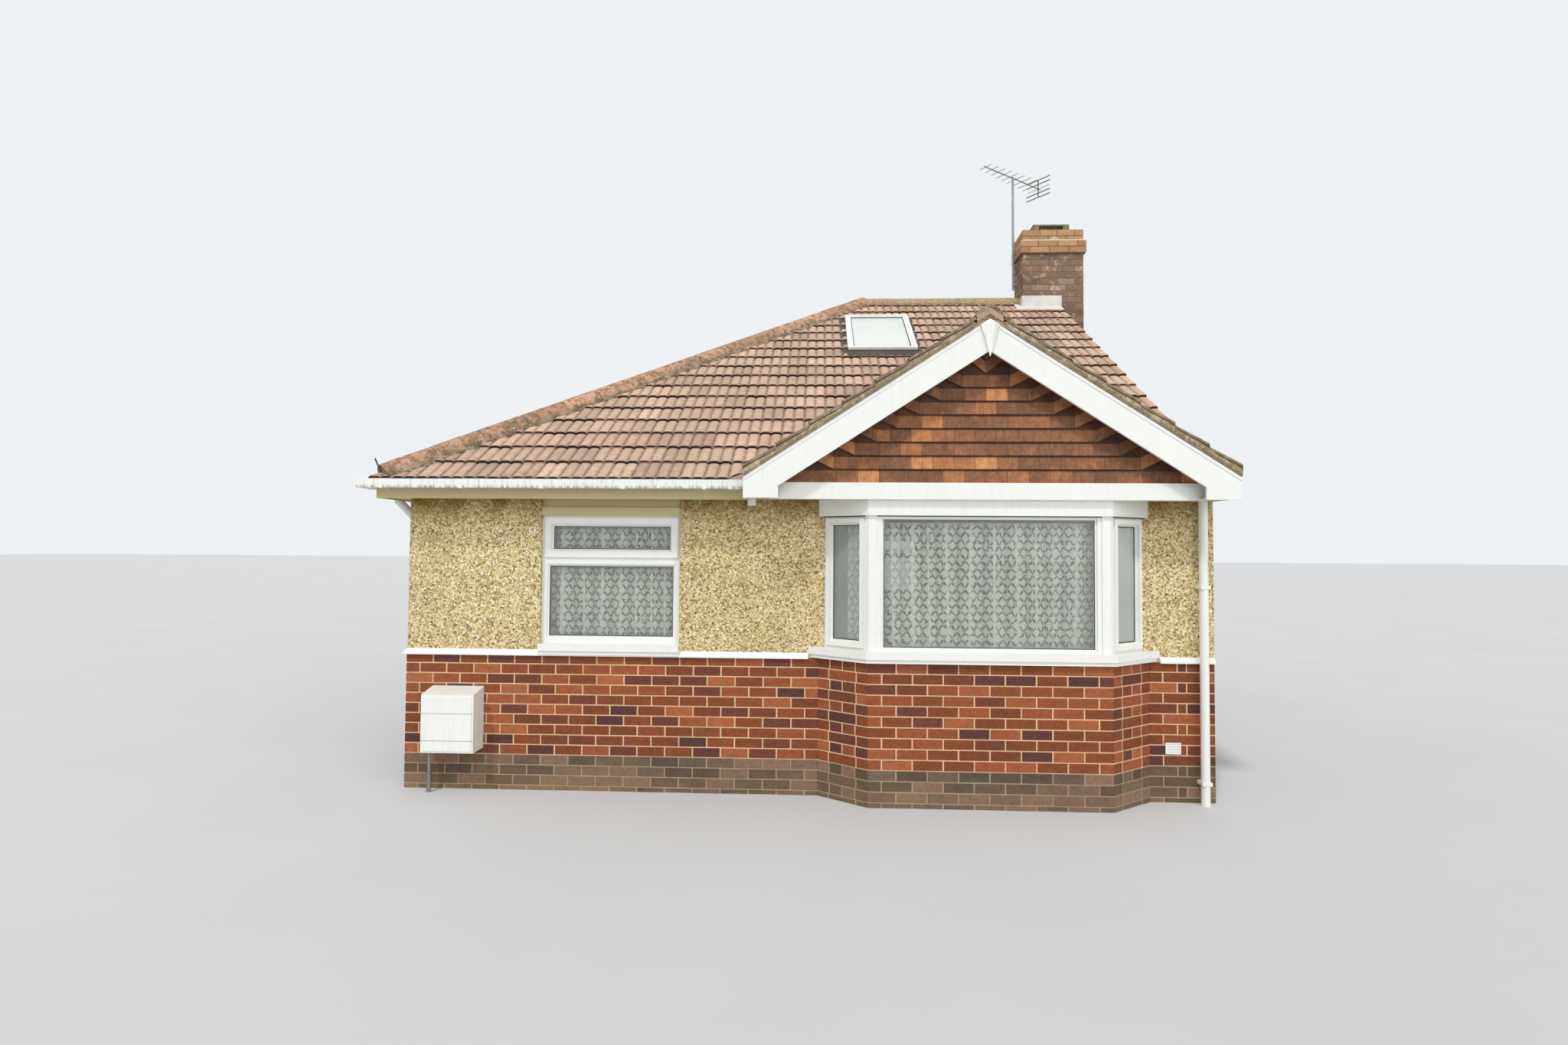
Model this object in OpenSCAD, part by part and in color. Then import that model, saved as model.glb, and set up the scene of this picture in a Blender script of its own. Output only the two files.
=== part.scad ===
// Left-hand house of a semi-detached pair of bungalows: hipped roof, tile-hung gable over a
// splayed bay, brick dado under pebbledash, stack on the party line. Millimetres, +Z up.
// Plan sizes run from the front-left wall corner; place() then centres the plan on the origin.

/* [House] */
// Front-left wall corner to the party line
house_width = 6462; // [6200:1:7000]
// Front wall face to back wall face
house_depth = 8490; // [7600:10:9600]
// Thickness of the outer cavity walls
wall_t = 275; // [230:1:330]
// Thickness of the party wall, half of it on each side of the party line
party_t = 215; // [200:1:300]
// Top of the ground floor above the ground
floor_top = 150; // [100:5:200]
// Underside of the ceiling above the ground
ceiling_z = 2500; // [2470:5:2560]
// Thickness of the ceiling
ceiling_t = 60; // [30:5:100]

/* [Brickwork] */
// Height of the dark courses at the foot of the walls
plinth_h = 289; // [240:1:340]
// Height of the brickwork up to the foot of the pebbledash
brick_h = 1114; // [1060:1:1150]
// How far the bell-cast drip stands out from the wall
drip_out = 28; // [15:1:40]
// Height of the bell-cast drip
drip_h = 48; // [30:1:60]
// Thickness of the drip at its lip
drip_lip = 12; // [8:1:20]

/* [Eaves] */
// Top of the tile tails at the eaves above the ground
eaves_z = 2545; // [2530:1:2600]
// Overhang of the tile tails past the wall
eaves_out = 235; // [225:1:270]
// Front face of the fascia from the wall
fascia_out = 190; // [150:1:200]
// Thickness of the fascia and the soffit boards
board_t = 20; // [15:1:25]
// Underside of the soffit above the ground
soffit_z = 2395; // [2385:1:2405]
// Width of the square gutter
gutter_w = 112; // [90:1:120]
// Depth of the square gutter
gutter_h = 58; // [50:1:75]
// Thickness of the gutter wall
gutter_t = 3; // [2:0.5:5]
// Height of the gutter's front lip over its back edge
gutter_lip = 13; // [6:1:20]
// Width of the outlet at the end of the front gutter
outlet_w = 150; // [120:5:180]
// Narrowing of the outlet at each side of its foot
outlet_fall = 28; // [10:1:40]
// How far the outlet stands out round the gutter
outlet_proud = 6; // [4:1:12]
// Spacing of the gutter brackets
bracket_gap = 650; // [600:5:700]
// First brackets outside the wall corners
bracket_in = 110; // [90:5:140]
// Width of a gutter bracket
bracket_w = 30; // [20:1:40]
// Thickness of a gutter bracket
bracket_t = 4; // [3:0.5:6]
// Length of the spout under the foot of the gable
spout_h = 60; // [40:5:90]
// Radius of the downpipes
pipe_r = 34; // [25:1:40]
// Gap between a downpipe and the wall
pipe_gap = 30; // [29:1:45]
// Height of the lower pipe clips above the ground
clip_low = 160; // [100:10:400]
// Height of the upper pipe clips above the ground
clip_high = 1700; // [1400:10:1800]
// Height of one pipe clip
clip_h = 28; // [20:1:40]
// Thickness of the pipe clips
clip_t = 4; // [3:0.5:6]

/* [Main roof] */
// Pitch of the front and back slopes in degrees
main_pitch = 31.8; // [28:0.1:36]
// Pitch of the hipped end in degrees
hip_pitch = 33.3; // [30:0.1:38]
// Thickness of the tiles on their battens
tile_t = 40; // [30:1:55]
// Gauge of the tile courses along the slope
tile_gauge = 300; // [260:5:340]
// Step from the tails of one tile course to the next
tile_step = 22; // [14:1:26]
// Depth of the rafters under the tiles
rafter_t = 95; // [70:1:110]
// Radius of the half-round ridge and hip tiles
ridge_r = 112; // [95:1:130]
// Wall of the half-round tiles
ridge_t = 16; // [12:1:22]
// Height of the irons at the feet of the hips
iron_h = 130; // [100:5:160]
// Width of the hip irons
iron_w = 28; // [20:1:40]
// Thickness of the hip irons
iron_t = 5; // [4:0.5:8]

/* [Gable] */
// Middle of the gable from the party line
gable_in = 1757; // [1720:1:1800]
// Half width of the gable to the outer face of its foot
gable_half = 1878; // [1840:1:1920]
// Top of the tiles at the gable's apex above the ground
gable_apex_z = 3840; // [3800:5:3880]
// Pitch of the gable's slopes in degrees
gable_pitch = 32.8; // [31.8:0.1:34]
// Depth of the tiles and their bedding over the bargeboards, measured upright
verge_drop = 82; // [70:1:95]
// How far the bedding stands out over the bargeboards
verge_bed = 8; // [4:1:14]
// Rise of the gable's ridge tiles over its apex
gable_crown = 25; // [18:1:40]
// Front face of the bargeboards from the front wall
verge_out = 450; // [430:1:520]
// Depth of the bargeboards measured upright
barge_h = 243; // [210:1:260]
// Thickness of the bargeboards
barge_t = 25; // [18:1:32]
// Height of the strip along the top of the bargeboards
strip_h = 28; // [20:1:40]
// Thickness of the strip along the top of the bargeboards
strip_t = 5; // [3:1:8]
// Width of the foot of a bargeboard
foot_w = 270; // [220:1:300]
// Width of the king piece at its head
king_w = 140; // [100:1:170]
// Drop of the king piece below the top of the bargeboards
king_h = 291; // [265:1:330]
// Face of the tile hanging from the front wall
hang_out = 312; // [305:1:330]
// Thickness of the framed panel behind the tile hanging
panel_t = 90; // [60:1:110]
// Exposed height of one course of hung tiles
hang_gauge = 107; // [90:1:115]
// Thickness of a hung tile at its tail
hang_tail = 22; // [16:1:26]
// Thickness of a hung tile at its head
hang_head = 8; // [6:1:12]
// Height of the white tie board under the hung tiles
tie_h = 130; // [110:1:150]

/* [Bay] */
// Middle of the bay from the party line
bay_in = 1727; // [1722:1:1762]
// Half width of the bay where it meets the wall
bay_half_wall = 1322; // [1290:1:1340]
// Half width of the front of the bay
bay_half_front = 938; // [900:1:980]
// Projection of the bay from the front wall
bay_out = 290; // [270:1:292]
// Thickness of the dwarf wall under the bay
dwarf_t = 215; // [200:1:230]
// Height of the sills at the windows
sill_h = 86; // [60:1:100]
// How far the sills stand out from the wall
sill_out = 50; // [30:1:60]
// Height of the set-back foot of the sills
nose_h = 30; // [20:1:40]
// Setting back of the foot of the sills
nose_in = 12; // [6:1:20]
// Width of the white corner posts of the bay
post_w = 75; // [60:1:90]
// How far the corner posts stand out from the frames
post_proud = 8; // [4:1:14]
// Setting back of the bay's frames from its face
bay_set = 30; // [20:1:45]
// Face width of the jambs of the bay's front frame
bay_bar = 34; // [24:1:50]
// Face height of the rails of the bay's front frame
bay_rail = 14; // [10:1:30]
// Face width of the sashes in the bay's sides
bay_sash_w = 50; // [40:1:60]

/* [Windows] */
// Middle of the front window from the front-left wall corner
window_x = 1690; // [1400:5:1900]
// Width of the small windows
window_w = 1160; // [900:10:1200]
// Underside of the window heads above the ground
head_z = 2262; // [2200:1:2300]
// Setting back of the frames from the wall face
set_back = 45; // [30:1:80]
// Depth of a window frame from front to back
frame_d = 70; // [60:1:80]
// Face width of a window frame
frame_w = 44; // [36:1:56]
// Face width of the fanlight's sash
sash_w = 68; // [55:1:80]
// How far a sash stands out from its frame
sash_proud = 15; // [8:1:20]
// Height from the lower light's glass line to the window head
fanlight_h = 405; // [360:5:450]
// Height of the transom
transom_h = 78; // [60:1:95]
// Face width of the glazing beads
bead_w = 16; // [10:1:20]
// Setting back of the glazing beads
bead_set = 12; // [6:1:18]
// Setting back of the upper head board from the wall face
head_in = 30; // [20:1:40]
// Thickness of the sealed glass units
glass_t = 24; // [18:1:28]
// Middle of the second back window from the party line
back_window_in = 1762; // [1662:5:2000]
// Middle of the side window from the front wall face
side_window_y = 6300; // [6000:10:6900]

// Gap between the frames and the curtains
curtain_gap = 25; // [15:1:35]
// Thickness of the hung curtains
curtain_t = 22; // [15:1:30]

/* [Side door] */
// Middle of the side door from the front wall face
door_y = 3600; // [3000:10:4200]
// Width of the doorway
door_w = 960; // [850:5:1100]
// Thickness of the door leaf
leaf_t = 44; // [40:1:50]
// Height of the door step above the ground
step_h = 140; // [120:5:148]
// Middle of the door's rail above the ground
rail_z = 1090; // [1000:10:1200]
// Face width of the door's stiles and rails
stile_w = 110; // [90:5:130]
// Width of the handle's plate
plate_w = 32; // [26:1:40]
// Height of the handle's plate
plate_h = 210; // [180:5:240]
// Thickness of the handle's plate
plate_t = 6; // [4:1:10]
// Reach of the lever from the door leaf
lever_out = 50; // [40:1:60]
// Half thickness of the lever
lever_r = 9; // [7:1:12]
// Length of the lever
lever_l = 110; // [90:5:130]

/* [Rooflight] */
// Middle of the rooflight from the left wall
rooflight_x = 4120; // [3965:5:4250]
// Width of the rooflight
rooflight_w = 780; // [550:10:800]
// Length of the rooflight along the slope
rooflight_l = 1320; // [980:10:1400]
// Distance of its lower edge from the eaves along the slope
rooflight_s = 3150; // [2900:10:3300]
// Height of its frame over the tiles
rooflight_h = 55; // [40:1:80]
// Face width of its frame
rooflight_f = 65; // [50:1:80]
// Width of the flashing below the rooflight
apron_foot = 130; // [80:5:180]
// Width of the flashing beside and above the rooflight
apron_side = 60; // [40:5:90]
// Thickness of the rooflight's flashing
apron_t = 4; // [3:0.5:6]

/* [Chimney] */
// Width of the stack along the ridge
stack_w = 778; // [675:1:900]
// Depth of the stack across the ridge
stack_d = 450; // [430:1:560]
// Underside of the head of the stack above the ridge
stack_up = 572; // [500:1:700]
// Height of the lower courses of the head
head_low_h = 165; // [120:5:180]
// Height of the upper courses of the head
head_high_h = 150; // [120:5:180]
// How far the lower courses of the head stand out
head_out = 30; // [15:1:40]
// Width of the flat terminal
terminal_w = 470; // [380:5:520]
// Depth of the flat terminal
terminal_d = 300; // [220:5:340]
// Height of the flat terminal
terminal_h = 100; // [70:5:130]
// Width of the closed ends of the terminal
terminal_end = 78; // [50:1:100]
// Thickness of the terminal's base and lid
terminal_rim = 15; // [10:1:22]
// Thickness of the web between the terminal's two mouths
terminal_web = 150; // [60:5:180]
// Top of the flashing above the ridge
flashing_up = 10; // [5:1:60]
// Width of the flashing on the slope
flashing_w = 100; // [60:5:140]
// Thickness of the flashing
flashing_t = 14; // [8:1:20]

/* [Aerial] */
// Radius of the mast
mast_r = 15; // [12:1:20]
// Gap between the mast and the stack
mast_gap = 60; // [40:1:100]
// Foot of the mast above the ridge
mast_foot_up = 157; // [100:1:200]
// Top of the mast above the ridge
mast_top_up = 1697; // [1400:1:1900]
// Lower bracket of the mast above its foot
bracket_low = 60; // [30:5:100]
// Upper bracket of the mast above its foot
bracket_high = 320; // [250:5:340]
// Length of the boom
boom_l = 1150; // [900:10:1300]
// Angle of the boom to the front in degrees
boom_turn = 38; // [20:1:50]
// Radius of the boom
boom_r = 8; // [6:0.5:12]
// First and last rods from the ends of the boom
boom_end = 30; // [20:1:60]
// Number of rods on the boom
rod_count = 10; // [6:1:14]
// Radius of a rod
rod_r = 4; // [3:0.5:6]
// Length of the first rod
rod_l = 200; // [150:5:260]
// Growth of each rod over the one before it
rod_grow = 18; // [5:1:30]
// Height of the reflector at the end of the boom
reflector_h = 240; // [160:10:320]

/* [Services] */
// Left side of the meter box from the left wall corner
meter_x = 225; // [160:5:300]
// Width of the meter box
meter_w = 430; // [380:5:480]
// Height of the meter box
meter_h = 505; // [440:5:560]
// Depth of the meter box
meter_d = 205; // [160:5:240]
// Underside of the meter box above the ground
meter_z = 340; // [320:5:380]
// Fall of the top of the meter box from the wall to its front
meter_fall = 41; // [20:1:60]
// Thickness of the lid of the meter box
lid_t = 6; // [4:1:10]
// Margin round the lid of the meter box
lid_in = 15; // [10:1:25]
// Radius of the meter pipe
meter_pipe_r = 14; // [10:1:18]
// Height of the sleeve round the foot of the meter pipe
sleeve_h = 150; // [100:5:200]
// Left side of the wall vent past the bay's right end
vent_x = 120; // [90:5:140]
// Width of the wall vent
vent_w = 120; // [90:5:140]
// Height of the wall vent
vent_h = 90; // [70:5:110]
// Thickness of the wall vent
vent_t = 12; // [8:1:16]
// Number of slots in the wall vent
vent_slats = 4; // [3:1:6]
// Underside of the wall vent above the dark courses
vent_up = 95; // [60:5:120]

/* [Hidden] */
total_w = house_width + party_t / 2;
sill_top = brick_h + sill_h;
half = house_depth / 2;
rise = (half + eaves_out) * tan(main_pitch);
ridge_z = eaves_z + rise;
hip_run = rise / tan(hip_pitch);
ridge_x0 = hip_run - eaves_out;
far = 20000;
cut = 1;
$fn = 32;

gable_x = house_width - gable_in;
gable_left = gable_x - gable_half;
gable_right = min(total_w, gable_x + gable_half);
gable_foot_z = gable_apex_z - gable_half * tan(gable_pitch);
valley_y = (gable_apex_z - eaves_z) / tan(main_pitch) - eaves_out;
valley_foot_y = (gable_foot_z - eaves_z) / tan(main_pitch) - eaves_out;
tile_v = tile_t / cos(main_pitch);
slab_v = (tile_t + rafter_t) / cos(main_pitch);
barge_top = gable_apex_z - verge_drop;
foot_z = soffit_z - board_t / 2;
tie_z = foot_z;
hang_z = tie_z + tie_h;
fascia_in = fascia_out - board_t;
hip_turn = atan2(half + eaves_out, hip_run);
hip_lift = atan2(rise, norm([half + eaves_out, hip_run]));
hip_front_fall = tan(main_pitch) * cos(hip_turn) * cos(hip_lift);
hip_left_fall = tan(hip_pitch) * sin(hip_turn) * cos(hip_lift);
ridge_crown = ridge_r - (ridge_r - ridge_t) * tan(main_pitch);
hip_crown = ridge_r - (ridge_r - ridge_t) * min(hip_left_fall, hip_front_fall);

splay = atan2(bay_out, bay_half_wall - bay_half_front);
splay_l = norm([bay_out, bay_half_wall - bay_half_front]);
bay_x = house_width - bay_in;
bay_frame_in = bay_set + frame_d;
bay_opening = bay_half_wall - bay_frame_in / sin(splay) + frame_w / 2;
front_w = 2 * (bay_half_front - bay_frame_in * tan(splay / 2)) - post_w;
splay_w = splay_l - bay_set / tan(splay) - post_w / 2;
frame_in = set_back + frame_d;
glass_in = (frame_d - glass_t) / 2;
transom_z = head_z - fanlight_h;
back_window_x = house_width - back_window_in;
bay_sill_end = bay_half_wall + sill_out / sin(splay);

head_foot_z = ridge_z + stack_up;
mast_foot_z = ridge_z + mast_foot_up;
mast_top_z = ridge_z + mast_top_up;
stack_x0 = house_width - stack_w / 2;
stack_y0 = half - stack_d / 2;
head_mid_z = head_foot_z + head_low_h;
head_top_z = head_mid_z + head_high_h;
gutter_top = eaves_z - tile_v + (eaves_out - fascia_out) * tan(main_pitch) - gutter_t;

white = [0.93, 0.93, 0.92];
brick_red = [0.60, 0.34, 0.24];
brick_dark = [0.28, 0.23, 0.22];
render_cream = [0.80, 0.70, 0.50];
roof_tile = [0.68, 0.50, 0.42];
hip_tile = [0.75, 0.58, 0.46];
glass_grey = [0.45, 0.52, 0.56];
board_grey = [0.62, 0.60, 0.57];
lace = [0.86, 0.88, 0.86];

// Moves plan sizes taken from the front-left wall corner to the middle of the plan.
module place() {
    translate([-total_w / 2, -half, 0]) children();
}

// Plan wedge in which one side's runs lie, mitred at the left corners.
module side_clip(side) {
    translate([0, 0, -far / 2]) linear_extrude(far) polygon(
        side == "front" ? [[0, 0], [half, half], [far, half], [far, -far], [-far, -far]] :
        side == "left" ? [[half, half], [-far, -far], [-far, far + house_depth]] :
        [[half, half], [far, half], [far, far + house_depth], [-far, far + house_depth]]);
}

// A profile of outward distance and height run along one side of the house.
module run(side, front_end, back_end) {
    intersection() {
        if (side == "front")
            translate([front_end, 0, 0]) rotate([90, 0, -90]) linear_extrude(front_end + far / 4)
                children();
        else if (side == "left")
            translate([0, -far / 4, 0]) rotate([90, 0, 180]) linear_extrude(house_depth + far / 2)
                children();
        else
            translate([-far / 4, house_depth, 0]) rotate([90, 0, 90])
                linear_extrude(back_end + far / 4) children();
        side_clip(side);
    }
}

// A profile run around the front, left and back.
module around(front_end, back_end) {
    run("front", front_end, back_end) children();
    run("left", front_end, back_end) children();
    run("back", front_end, back_end) children();
}

// Stands its children on one side: x from the left corner along the wall, y into the house.
module on_side(side) {
    if (side == "front") children();
    else if (side == "left") rotate([0, 0, 90]) mirror([0, 1, 0]) children();
    else translate([0, house_depth, 0]) mirror([0, 1, 0]) children();
}

// Board or layer around the front, left and back between two outward distances and two heights.
module ring(from, to, low, high, front_end) {
    translate([0, 0, low]) linear_extrude(high - low) polygon([[front_end, -to], [-to, -to],
        [-to, house_depth + to], [total_w, house_depth + to], [total_w, house_depth + from],
        [-from, house_depth + from], [-from, -from], [front_end, -from]]);
}

// Rectangle of a wall or board in section: from one outward distance to another.
module band(from, to, low, high) {
    polygon([[from, low], [to, low], [to, high], [from, high]]);
}

// Everything under the rafters of the main roof.
module under_roof() {
    top = ridge_x0 + far * cos(hip_pitch);
    intersection() {
        translate([-far / 2, 0, 0]) rotate([90, 0, 90]) linear_extrude(far) polygon([
            [-eaves_out, -cut], [-eaves_out, eaves_z - slab_v], [half, ridge_z - slab_v],
            [house_depth + eaves_out, eaves_z - slab_v], [house_depth + eaves_out, -cut]]);
        translate([0, far / 2, 0]) rotate([90, 0, 0]) linear_extrude(far) polygon([
            [-eaves_out, -cut], [-eaves_out, eaves_z - slab_v],
            [top, eaves_z - slab_v + (top + eaves_out) * tan(hip_pitch)], [top, -cut]]);
    }
}

module box(x, y, z) {
    translate([x[0], y[0], z[0]]) cube([x[1] - x[0], y[1] - y[0], z[1] - z[0]]);
}

// Window openings through the walls, from under the sill to over the head.
module window_openings() {
    box([window_x - window_w / 2, window_x + window_w / 2], [-far / 8, wall_t + cut], [brick_h, soffit_z]);
    for (x = [window_x, back_window_x])
        box([x - window_w / 2, x + window_w / 2], [house_depth - wall_t - cut, house_depth + far / 8],
            [brick_h, soffit_z]);
    box([-far / 8, wall_t + cut], [side_window_y - window_w / 2, side_window_y + window_w / 2],
        [brick_h, soffit_z]);
}

module bay_gap(low, high) {
    box([bay_x - bay_opening, bay_x + bay_opening], [-cut, wall_t + cut], [low, high]);
}

module doorway(low) {
    box([-far / 8, wall_t + cut], [door_y - door_w / 2, door_y + door_w / 2], [low, head_z]);
}

// The three outer walls between two heights, in the solid brick or block of one storey.
module wall_ring(sides, low, high) {
    for (s = sides)
        run(s, total_w, total_w) band(-wall_t, 0, low, high);
}

// Half widths of the bay's front and of its foot on the wall, a distance inside its face.
function front_half(o) = bay_half_front - o * tan(splay / 2);
function wall_half(o) = bay_half_wall - o / sin(splay);

// Corners of the bay a distance inside its face, from left to right.
function bay_line(o) = [[bay_x - wall_half(o), 0], [bay_x - front_half(o), o - bay_out],
    [bay_x + front_half(o), o - bay_out], [bay_x + wall_half(o), 0]];

// Plan of the bay between two distances inside its face.
module bay_band(outer, inner) {
    back = bay_line(inner);
    polygon(concat(bay_line(outer), [back[3], back[2], back[1], back[0]]));
}

// Stands its children on each face of the bay: x along the face, y into the house.
module on_splays() {
    for (m = [0, 1])
        translate([bay_x, 0, 0]) mirror([m, 0, 0]) translate([bay_half_front, -bay_out, 0])
            rotate([0, 0, splay]) children();
}

module ground_floor() {
    color(board_grey) place() difference() {
        linear_extrude(floor_top) {
            polygon([[wall_t, wall_t], [total_w - party_t, wall_t],
                [total_w - party_t, house_depth - wall_t], [wall_t, house_depth - wall_t]]);
            polygon(bay_line(dwarf_t));
        }
        breast(0);
    }
}

module plinth_courses_dark() {
    color(brick_dark) place() difference() {
        union() {
            ring(-wall_t, 0, 0, plinth_h, total_w);
            linear_extrude(plinth_h) bay_band(0, dwarf_t);
        }
        bay_gap(floor_top, plinth_h + cut);
        doorway(step_h);
    }
}

module front_base() {
    color(brick_red) place() difference() {
        wall_ring(["front"], plinth_h, brick_h);
        bay_gap(plinth_h - cut, brick_h + cut);
    }
}

module left_base() {
    color(brick_red) place() difference() {
        wall_ring(["left"], plinth_h, brick_h);
        doorway(plinth_h - cut);
    }
}

module back_base() {
    color(brick_red) place() wall_ring(["back"], plinth_h, brick_h);
}

module bay_base() {
    color(brick_red) place() translate([0, 0, plinth_h]) linear_extrude(brick_h - plinth_h)
        bay_band(0, dwarf_t);
}

module upper_wall(side) {
    color(render_cream) place() difference() {
        intersection() {
            wall_ring([side], brick_h, ridge_z);
            under_roof();
        }
        window_openings();
        doorway(brick_h - cut);
        bay_gap(brick_h - cut, soffit_z + board_t);
        lintel_space();
    }
}

// Height of the rafters' underside over a distance into the house.
function rafters_z(y) = eaves_z + (y + eaves_out) * tan(main_pitch) - slab_v;

module party_wall() {
    color(board_grey) place() difference() {
        translate([total_w - party_t, 0, 0]) rotate([90, 0, 90]) linear_extrude(party_t)
            polygon([[wall_t, 0], [wall_t, rafters_z(wall_t)], [half, rafters_z(half)],
                [house_depth - wall_t, rafters_z(wall_t)], [house_depth - wall_t, 0]]);
        breast(cut);
    }
}

module bell_cast_drip() {
    color(white) place() difference() {
        around(total_w, total_w)
            polygon([[0, brick_h - drip_lip], [drip_out, brick_h - drip_lip], [drip_out, brick_h],
                [0, brick_h + drip_h - drip_lip]]);
        box([bay_x - bay_sill_end, bay_x + bay_sill_end], [-far / 8, cut], [0, ceiling_z]);
        doorway(0);
        sill_space();
    }
}

module ceiling() {
    color(white) place() difference() {
        box([wall_t, total_w - party_t], [wall_t, house_depth - wall_t], [ceiling_z, ceiling_z + ceiling_t]);
        breast(cut);
    }
}

module lintel_space() {
    box([bay_x - bay_half_wall, bay_x + bay_half_wall], [-cut, wall_t + cut],
        [soffit_z + board_t, ceiling_z + ceiling_t]);
}

module bay_lintel() {
    color(board_grey) place() box([bay_x - bay_half_wall, bay_x + bay_half_wall], [0, wall_t],
        [soffit_z + board_t, ceiling_z + ceiling_t]);
}

// The column of the chimney, widened by a clearance.
module breast(clear) {
    box([stack_x0 - clear, stack_x0 + stack_w + clear], [stack_y0 - clear, stack_y0 + stack_d + clear],
        [-cut, head_foot_z]);
}

module chimney_breast() {
    color(board_grey) place() intersection() {
        breast(0);
        box([0, far], [0, far], [0, ceiling_z]);
    }
}

module chimney_stack() {
    color(brick_dark) place() intersection() {
        breast(0);
        box([0, far], [0, far], [ceiling_z, head_foot_z]);
    }
}

module chimney_head() {
    color(brick_red) place() {
        box([stack_x0 - head_out, stack_x0 + stack_w + head_out],
            [stack_y0 - head_out, stack_y0 + stack_d + head_out], [head_foot_z, head_mid_z]);
        box([stack_x0, stack_x0 + stack_w], [stack_y0, stack_y0 + stack_d], [head_mid_z, head_top_z]);
    }
}

module chimney_terminal() {
    color(hip_tile) place() translate([house_width, half, head_top_z]) difference() {
        translate([-terminal_w / 2, -terminal_d / 2, 0]) cube([terminal_w, terminal_d, terminal_h]);
        for (m = [0, 1])
            mirror([0, m, 0]) translate([terminal_end - terminal_w / 2, terminal_web / 2, terminal_rim])
                cube([terminal_w - 2 * terminal_end, terminal_d, terminal_h - 2 * terminal_rim]);
    }
}

// Chevron of the main roof between two distances over its tiles.
module over_tiles(low, high, x0, x1) {
    translate([x0, 0, 0]) rotate([90, 0, 90]) linear_extrude(x1 - x0) difference() {
        polygon([[-eaves_out, eaves_z + high], [half, ridge_z + high],
            [house_depth + eaves_out, eaves_z + high],
            [house_depth + eaves_out, eaves_z], [-eaves_out, eaves_z]]);
        polygon([[-far, eaves_z + low - (far - eaves_out) * tan(main_pitch)], [half, ridge_z + low],
            [house_depth + far, eaves_z + low - (far - eaves_out) * tan(main_pitch)]]);
    }
}

module chimney_flashing() {
    color(white) place() difference() {
        union() {
            intersection() {
                over_tiles(cut, flashing_t, stack_x0 - flashing_w, total_w);
                box([0, far], [stack_y0 - flashing_w, stack_y0 + stack_d + flashing_w], [0, far]);
            }
            difference() {
                box([stack_x0 - flashing_t, total_w],
                    [stack_y0 - flashing_t, stack_y0 + stack_d + flashing_t], [eaves_z, ridge_z + flashing_up]);
                over_tiles(-far, cut, 0, far);
            }
        }
        breast(0);
    }
}

// Tops of the tile courses of one slope, from the lowest tails at the origin to its reach.
function coursed(pitch, reach) = let (
    up = [cos(pitch), sin(pitch)],
    out = [-sin(pitch), cos(pitch)],
    count = floor((reach / cos(pitch) - ridge_r) / tile_gauge))
    concat([for (i = [0 : count - 1]) each [i * tile_gauge * up, (i + 1) * tile_gauge * up - tile_step * out]],
        [count * tile_gauge * up, [reach, reach * tan(pitch)]]);

// Upright section of one slope, from the tile tails to the top.
module slope_section(pitch, reach) {
    foot = fascia_out - board_t;
    up = (eaves_out - foot) * tan(pitch);
    polygon(concat([for (p = coursed(pitch, reach)) p + [-eaves_out, eaves_z]],
        [[reach - eaves_out, eaves_z + reach * tan(pitch) - slab_v], [-foot, eaves_z + up - slab_v],
        [-foot, eaves_z + up - tile_v], [-eaves_out, eaves_z - tile_v]]));
}

// Plan of the gable roof, from its verge back to the valleys.
module gable_plan() {
    polygon([[gable_left, valley_foot_y], [gable_x, valley_y], [gable_x + gable_half, valley_foot_y],
        [gable_x + gable_half, -far], [gable_left, -far]]);
}

module roof_front() {
    color(roof_tile) place() difference() {
        intersection() {
            translate([-eaves_out, 0, 0]) rotate([90, 0, 90]) linear_extrude(total_w + eaves_out)
                slope_section(main_pitch, half + eaves_out);
            linear_extrude(far) difference() {
                polygon([[-eaves_out, -eaves_out], [ridge_x0, half], [total_w, half],
                    [total_w, -eaves_out]]);
                gable_plan();
            }
        }
        breast(cut);
        on_slope(rooflight_x, rooflight_s) rooflight_box(0, -far / 8, far / 8);
    }
}

module roof_left() {
    color(roof_tile) place() intersection() {
        translate([0, house_depth + eaves_out, 0]) rotate([90, 0, 0])
            linear_extrude(house_depth + 2 * eaves_out) slope_section(hip_pitch, hip_run);
        linear_extrude(far) polygon([[-eaves_out, -eaves_out], [ridge_x0, half],
            [-eaves_out, house_depth + eaves_out]]);
    }
}

module roof_back() {
    color(roof_tile) place() difference() {
        intersection() {
            translate([0, house_depth, 0]) mirror([0, 1, 0]) translate([-eaves_out, 0, 0])
                rotate([90, 0, 90]) linear_extrude(total_w + eaves_out)
                    slope_section(main_pitch, half + eaves_out);
            linear_extrude(far) polygon([[-eaves_out, house_depth + eaves_out], [ridge_x0, half],
                [total_w, half], [total_w, house_depth + eaves_out]]);
        }
        breast(cut);
    }
}

// Outline even about the middle, from its top round its left side to its bottom.
function across(top, left, bottom) = concat([[0, top]], left, [[0, bottom]],
    [for (i = [len(left) - 1 : -1 : 0]) [-left[i][0], left[i][1]]]);

// Both slopes of the gable between two depths under its tiles, with the courses where it is none.
module gable_chevron(top, bottom) {
    steps = coursed(gable_pitch, gable_half);
    tops = top > 0 ? [[-gable_half, gable_foot_z - top]] :
        [for (i = [len(steps) - 2 : -1 : 0]) steps[i] + [-gable_half, gable_foot_z]];
    translate([gable_x, 0]) polygon(across(gable_apex_z - top,
        concat(tops, [[-gable_half, gable_foot_z - bottom]]), gable_apex_z - bottom));
}

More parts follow.
